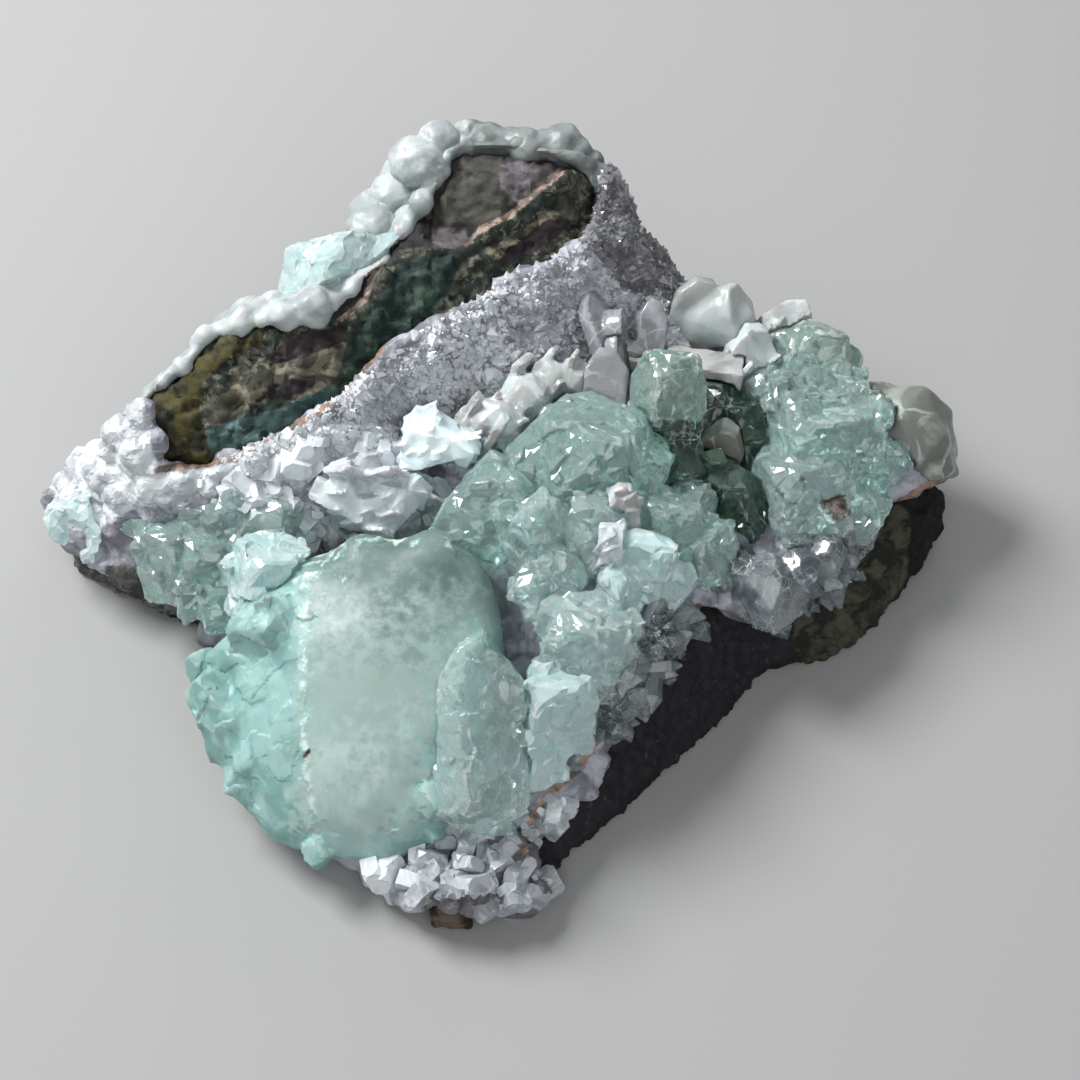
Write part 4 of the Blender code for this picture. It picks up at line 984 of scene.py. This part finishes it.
DRUSE_MARKS = {
    "sugar": [[(-38, 9.5), (-28, 14), (-20, 20), (-12, 26), (-4, 31), (5, 35), (8, 44), (16, 38), (24, 30),
               (30, 24), (8, 20), (-8, 14), (-14, 10), (-26, 9)]],
    "left": [[(-41, 7), (-36, 9), (-26, 12), (-14, 12), (-12, 2), (-28, 0), (-38, 4)],
             [(-20, -40), (-10, -34), (-2, -33), (3, -31), (1, -40), (0, -44), (-8, -44)]],
    "clear": [[(4, -20), (10, -16), (14, -8), (20, -6), (18, -10), (14, -17), (8, -24), (4, -28)],
              [(20, -2), (30, -2), (38, 0), (44, 4), (38, -6), (28, -10)]],
}
DRUSE_LEVEL = 2.5  # no druse grows on the lowest rim
chip = block("chip_grain", size=(1.0, 0.6, 1.1), corner=0.2)
sugar_point = point_grain("druse_grain", width=1.5, height=1.0)
clear_prism = quartz_grain("clear_grain", width=0.8, length=1.1, point=0.5)
mark_places(lining, DRUSE_MARKS, soft=2.0, level=DRUSE_LEVEL)
SOWINGS = {  # mark: grain, grains for each square millimetre, their sizes, tilt, seed, finish
    "sugar": (sugar_point, 4.5, (0.4, 1.5), 0.6, 11, DRUSE),
    "left": (chip, 0.5, (0.9, 3.6), 0.5, 13, PALE_CHIPS),
    "clear": (clear_prism, 0.5, (1.0, 4.2), 0.9, 12, LAVENDER_GLASS),
}
for mark, (grain, density, sizes, tilt, seed, finish) in SOWINGS.items():
    piece(sown(lining, "druse_" + mark, grain, density, sizes, tilt, seed, mark), "quartz", finish)

# %% [markdown]
# ## The stilbite
# Stilbite grows as sheaves of thin blades with a pearly lustre. Flat blades are sown over each body, all
# turned nearly one way, and a remesh fuses them with it.

# %% Stilbite
blade = block("blade_grain", (1.0, 0.28, 1.5), 0.12)
cube = block("cube_grain", (1.0, 1.0, 0.9), 0.2)
applied(cube, "BEVEL", width=0.05 * MM, segments=1, limit_method="ANGLE", angle_limit=math.radians(30))
STILBITE = {  # crystal: turn in degrees, blades for each square millimetre, their sizes, finish
    "bar": ((80, 0, 84), 0, (1.0, 2.0), BAR_GREY),
    "centre": ((0, 0, 20), 0.2, (0.8, 1.8), CREAM),
    "disc": ((20, 0, 30), 0.0, (1.0, 2.4), PEARL),
    "left_sheaf": ((30, 50, 20), 0.08, (1.4, 3.6), FROSTED),
    "middle": ((20, 30, 60), 0.09, (1.4, 4.0), CREAM),
    "outer": ((0, 0, 0), 0.0, (1.0, 2.0), CRUST),
    "pocket": ((10, 20, 40), 0, (1.0, 2.0), GREY_CREAM),
    "right_cluster": ((20, -20, 50), 0.05, (1.0, 3.0), CREAM),
    "right_end": ((0, 20, 20), 0.0, (1.5, 3.0), GREY_CREAM),
    "right_tip": ((0, 60, 30), 0.02, (1.0, 2.4), CREAM),
    "slanted_blades": ((-10, -18, 20), 0, (1.0, 2.0), GLASSY_GREY),
    "upright_blade": ((-10, 5, 20), 0, (1.0, 2.0), GLASSY_GREY),
    "white": ((20, 35, 50), 0.35, (0.8, 2.2), FROSTED),
    "white_sheaf": ((60, 30, 80), 0.16, (0.8, 1.7), WHITE),
}
ROUNDED = ("disc", "right_end", "outer")


def turn_of(degrees):
    """A turn about the three axes, from degrees."""
    return Euler([math.radians(angle) for angle in degrees])


for seed, (name, (turn, density, sizes, finish)) in enumerate(STILBITE.items()):
    crystal = copy_of("stilbite_" + name)
    grown(crystal, blade, density, sizes, tilt=0.25, seed=seed, turn=turn_of(turn))
    remeshed(crystal, 0.28)
    if name in ROUNDED:
        applied(crystal, "SMOOTH", factor=0.5, iterations=20)
        displaced(crystal, clouds(5.0, 2), strength=0.8)
    else:
        displaced(crystal, clouds(2.2, 2), strength=0.4)
    applied(crystal, "DECIMATE", ratio=0.2)
    smooth_shaded(crystal, 40 if name in ROUNDED else 22)
    piece(crystal, "stilbite", finish, "stilbite_" + name)

# %% [markdown]
# ## The apophyllite
# Apophyllite grows as blocky crystals that look like cubes with cut corners, many of them side by side
# and turned the same way. Each body gets such steps from smaller blocks that are fused with it.

# %% Apophyllite crystals
APOPHYLLITE = {  # crystal: turn in degrees, blocks for each square millimetre, their sizes, finish
    "back_right": ((20, -10, 30), 0.006, (1.5, 3.0), SHADED_GREEN),
    "block_centre": ((30, 20, 20), 0.05, (0.8, 2.6), ICY_GREEN),
    "bright_blade": ((30, -30, 40), 0.0, (1.0, 2.4), BRIGHT_GREEN),
    "cluster_right": ((15, 25, 10), 0.03, (1.0, 3.0), CLEAR_GREEN),
    # its darker green finish is painted shade
    "deep": ((10, 0, 20), 0.006, (1.5, 3.5), SHADOWED_GREEN),
    "dome": ((20, -15, 30), 0.012, (1.4, 3.4), CLEAR_GREEN),
    "front_block": ((25, 10, 30), 0.02, (1.0, 2.8), BRIGHT_GREEN),
    "front_dome": ((20, 10, 40), 0.02, (1.0, 2.8), ICY_GREEN),
    "left_block": ((20, 20, 30), 0.02, (1.0, 2.8), BRIGHT_GREEN),
    "left_clear": ((30, 0, 40), 0.0, (1.5, 3.0), CLEAR_GREEN),
    "left_group": ((15, 10, 20), 0.03, (1.2, 3.4), CLEAR_GREEN),
    "left_tip": ((10, 20, 30), 0.01, (1.0, 2.4), BRIGHT_GREEN),
    "outer": ((10, 10, 30), 0.01, (1.5, 3.0), BRIGHT_GREEN),
    "pale_centre": ((10, 25, 20), 0.02, (1.0, 2.6), ICY_GREEN),
    "right_block": ((25, 12, 15), 0.35, (0.8, 2.4), CLEAR_GREEN),
    "tall": ((25, 10, 25), 0.0, (1.0, 2.4), SHADED_GREEN),
    "twin": ((10, 5, 10), 0.01, (1.0, 2.8), ICY_GREEN),
}
SMOOTHINGS = {"twin": 40, "dome": 12, "left_tip": 12, "outer": 12, "back_right": 12}
TWIN_AXIS, TWIN_SHOULDER, TWIN_TAPER = -7.6, -18.0, 0.6  # the long crystal narrows above its shoulder
TWIN_SLOPE = 6.0  # over so many millimetres
OUTER_GROWTH = (1.25, 1.25, 1.15)
OUTER_SHIFT = (1.2 * MM, -1.6 * MM, 1.6 * MM)
EDGE_FALL = (0.14, 0.42)  # how steeply the mesh falls away at a dull and at a sharp edge
EVERYWHERE = [[(-99, -99), (99, -99), (99, 99), (-99, 99)]]
GROWN_PLACES = {  # where the small blocks grow, if not all over
    "right_block": [[(25, 22), (45.5, 22), (46, 8), (38.4, 8), (37, 15.6), (25, 15.8)]],
}
CRYSTAL_MARKS = {
    # painted shade on the lower part of the tall crystal
    "tall": {"stem": [[(11.5, 14.4), (20, 14.4), (24, 10), (24, 2), (10, 2), (11, 10)]]},
    "right_block": {
        "white_face": [[(27, 9.6), (37.5, 9.6), (37.5, 0.2), (30, -1), (26.5, 1)]],
        "red_stain": [[(33.4, 4.6), (36.6, 5.6), (37.4, 3.6), (36.6, 2.4), (34.2, 2.6)],
                      [(29.2, 7.2), (31.4, 8), (31.6, 5.6), (31.1, 7.3), (29.1, 6.9)],
                      [(28.6, 5.6), (30.4, 3.9), (30.6, 4.2), (28.8, 5.9)]],
    },
}


def steps(size):
    """A texture of square steps of this size, in millimetres."""
    return texture("VORONOI", size, color_mode="POSITION", distance_metric="CHEBYCHEV")


def faceted(obj, cell, share):
    """Fuses the object and its blocks, then leaves only this share of the triangles: flat, crisp faces."""
    remeshed(obj, cell)
    displaced(obj, clouds(1.8, 1), strength=0.25)
    displaced(obj, steps(2.6), strength=1.0)
    displaced(obj, steps(1.1), strength=0.3)
    applied(obj, "DECIMATE", ratio=share)
    only(obj)
    bpy.ops.object.shade_flat()
    return obj


for seed, (name, (turn, density, sizes, finish)) in enumerate(APOPHYLLITE.items(), start=50):
    crystal = copy_of("apophyllite_" + name)
    if name == "outer":
        middle = of_points(crystal, "co").mean(axis=0)
        bpy.ops.transform.resize(value=OUTER_GROWTH, center_override=middle)
        bpy.ops.transform.translate(value=OUTER_SHIFT)
        at_origin(crystal)
    remeshed(crystal, 0.4)
    if name == "twin":
        right, up = in_picture(crystal)
        share = np.clip((up - TWIN_SHOULDER) / TWIN_SLOPE, 0, 1)
        shifted(crystal, (1, 0, 0), (TWIN_AXIS - right) * TWIN_TAPER * share)
    places = GROWN_PLACES.get(name, EVERYWHERE)
    marked(crystal, "grow", within_any(crystal, places, soft=0.5))
    if density:
        grown(crystal, cube, density, sizes, tilt=0.12, seed=seed, turn=turn_of(turn), mask="grow",
              apart=1.0)
    if name in SMOOTHINGS:
        applied(crystal, "SMOOTH", factor=0.5, iterations=SMOOTHINGS[name])
    faceted(crystal, cell=0.26, share=0.08)
    # outward edges are marked for the painted edge highlights
    edges_marked(crystal, "edge", *EDGE_FALL)
    mark_places(crystal, CRYSTAL_MARKS.get(name, {}), soft=1.0)
    piece(crystal, "apophyllite", finish, "apophyllite_" + name)

# %% [markdown]
# ## The great crystal
# The largest aggregate is milky. Its front is one smooth, softly curved face, and its left flank breaks
# up into frosted steps. A line of glints with dark specks runs where the two meet.
# Its top is painted darker as painted shade, and its foot lighter as painted light.
# The glints along that line and the top rim are painted into the colour as painted highlights.

# %% Great crystal
SMOOTH_FACE = [(-27, 0), (-25, 3.5), (-10, 3.5), (-3, 0), (-2.4, -7), (-9, -12.5), (-13.5, -22), (-14, -33),
               (-22, -37), (-29, -34), (-28.4, -20), (-28, -8)]
GLINT_LINE = [(-28, -4), (-28.6, -12), (-28.4, -20), (-28, -28), (-27, -34)]
RIM_LINE = [(-30, -6), (-28, -3), (-21.6, 0.2), (-13, 0), (-5.5, -2), (-2.5, -7)]
FROST = [(-30, -1), (-22, 1.5), (-18, -2), (-24, -7), (-29, -14), (-38, -14), (-40, -8)]
SPECK = [(-28.0, -25.7), (-27.2, -25.3), (-26.9, -24.9)]
# The top is painted darker as painted shade and the foot lighter as painted light, each over 18 mm.
GRADUAL = 0.0133  # share for each millimetre: a change of colour over 18 mm
PAINTED_SHADE_LEVEL, PAINTED_LIGHT_LEVEL = -10, -25  # up in the picture, where these colours are halfway in
great = copy_of("apophyllite_great")
remeshed(great, 0.7)
grouped(great, "push_face", within(great, SMOOTH_FACE, soft=3.0))
applied(great, "SMOOTH", factor=0.5, iterations=220, vertex_group="push_face")
applied(great, "SMOOTH", factor=0.5, iterations=10)
marked(great, "grow", 1 - within(great, SMOOTH_FACE, soft=2.0))
grown(great, cube, 0.012, (2.0, 5.0), tilt=0.15, seed=99, turn=turn_of((15, 25, 40)), mask="grow",
      apart=3.0)
remeshed(great, 0.35)

# %% Marks on the great crystal
marked(great, "flank", 1 - within(great, SMOOTH_FACE, soft=16.0))
right, up = in_picture(great)
# painted shade towards the top, painted light towards the foot
marked(great, "crown", 0.5 + GRADUAL * (up - PAINTED_SHADE_LEVEL))
marked(great, "foot", 0.5 - GRADUAL * (up - PAINTED_LIGHT_LEVEL))
rim = near_line(great, RIM_LINE, reach=2.2)
frost = within(great, FROST, soft=4.0)
# The glint mark is painted highlight on the line and rim, and partly real frosting, partly painted glints
# on the frosted patch.
glints = [0.75 * near_line(great, GLINT_LINE, reach=1.3), 0.5 * rim, 0.35 * frost]
marked(great, "glint", np.max(glints, axis=0))
marked(great, "speck", near_line(great, SPECK, reach=0.8))
grouped(great, "push_flank", np.maximum(1 - within(great, SMOOTH_FACE, soft=5.0), rim))

# %% Steps on its flank
displaced(great, steps(3.0), strength=0.6, group="push_flank")
displaced(great, clouds(1.6, 2), strength=0.4, group="push_flank")
displaced(great, clouds(6.0, 2), strength=0.5)
applied(great, "DECIMATE", ratio=0.25)
smooth_shaded(great, 16)
piece(great, "apophyllite", MILKY_GREEN, "apophyllite_great")

# %% [markdown]
# ## The quartz
# Two clear, faintly lavender crystals stand at the lower right. They are smoother than the apophyllite,
# so soft clouds are enough, and only edges sharper than 30 degrees stay crisp.

# %% Quartz
quartz = copy_of("quartz_lower_right")
remeshed(quartz, 0.3)
displaced(quartz, clouds(1.5, 2), strength=0.3)
smooth_shaded(quartz, 30)
piece(quartz, "quartz", LAVENDER_GLASS, "quartz_lower_right")

# %% [markdown]
# ## The end
# The models of the grains go, the triangles of all pieces are counted, and the piece is finished.

# %% The end
for grain in (sugar_point, clear_prism, chip, blade, cube, pebble):
    bpy.data.objects.remove(grain)
total = sum(triangles(obj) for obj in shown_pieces())
print("total", total, "triangles")
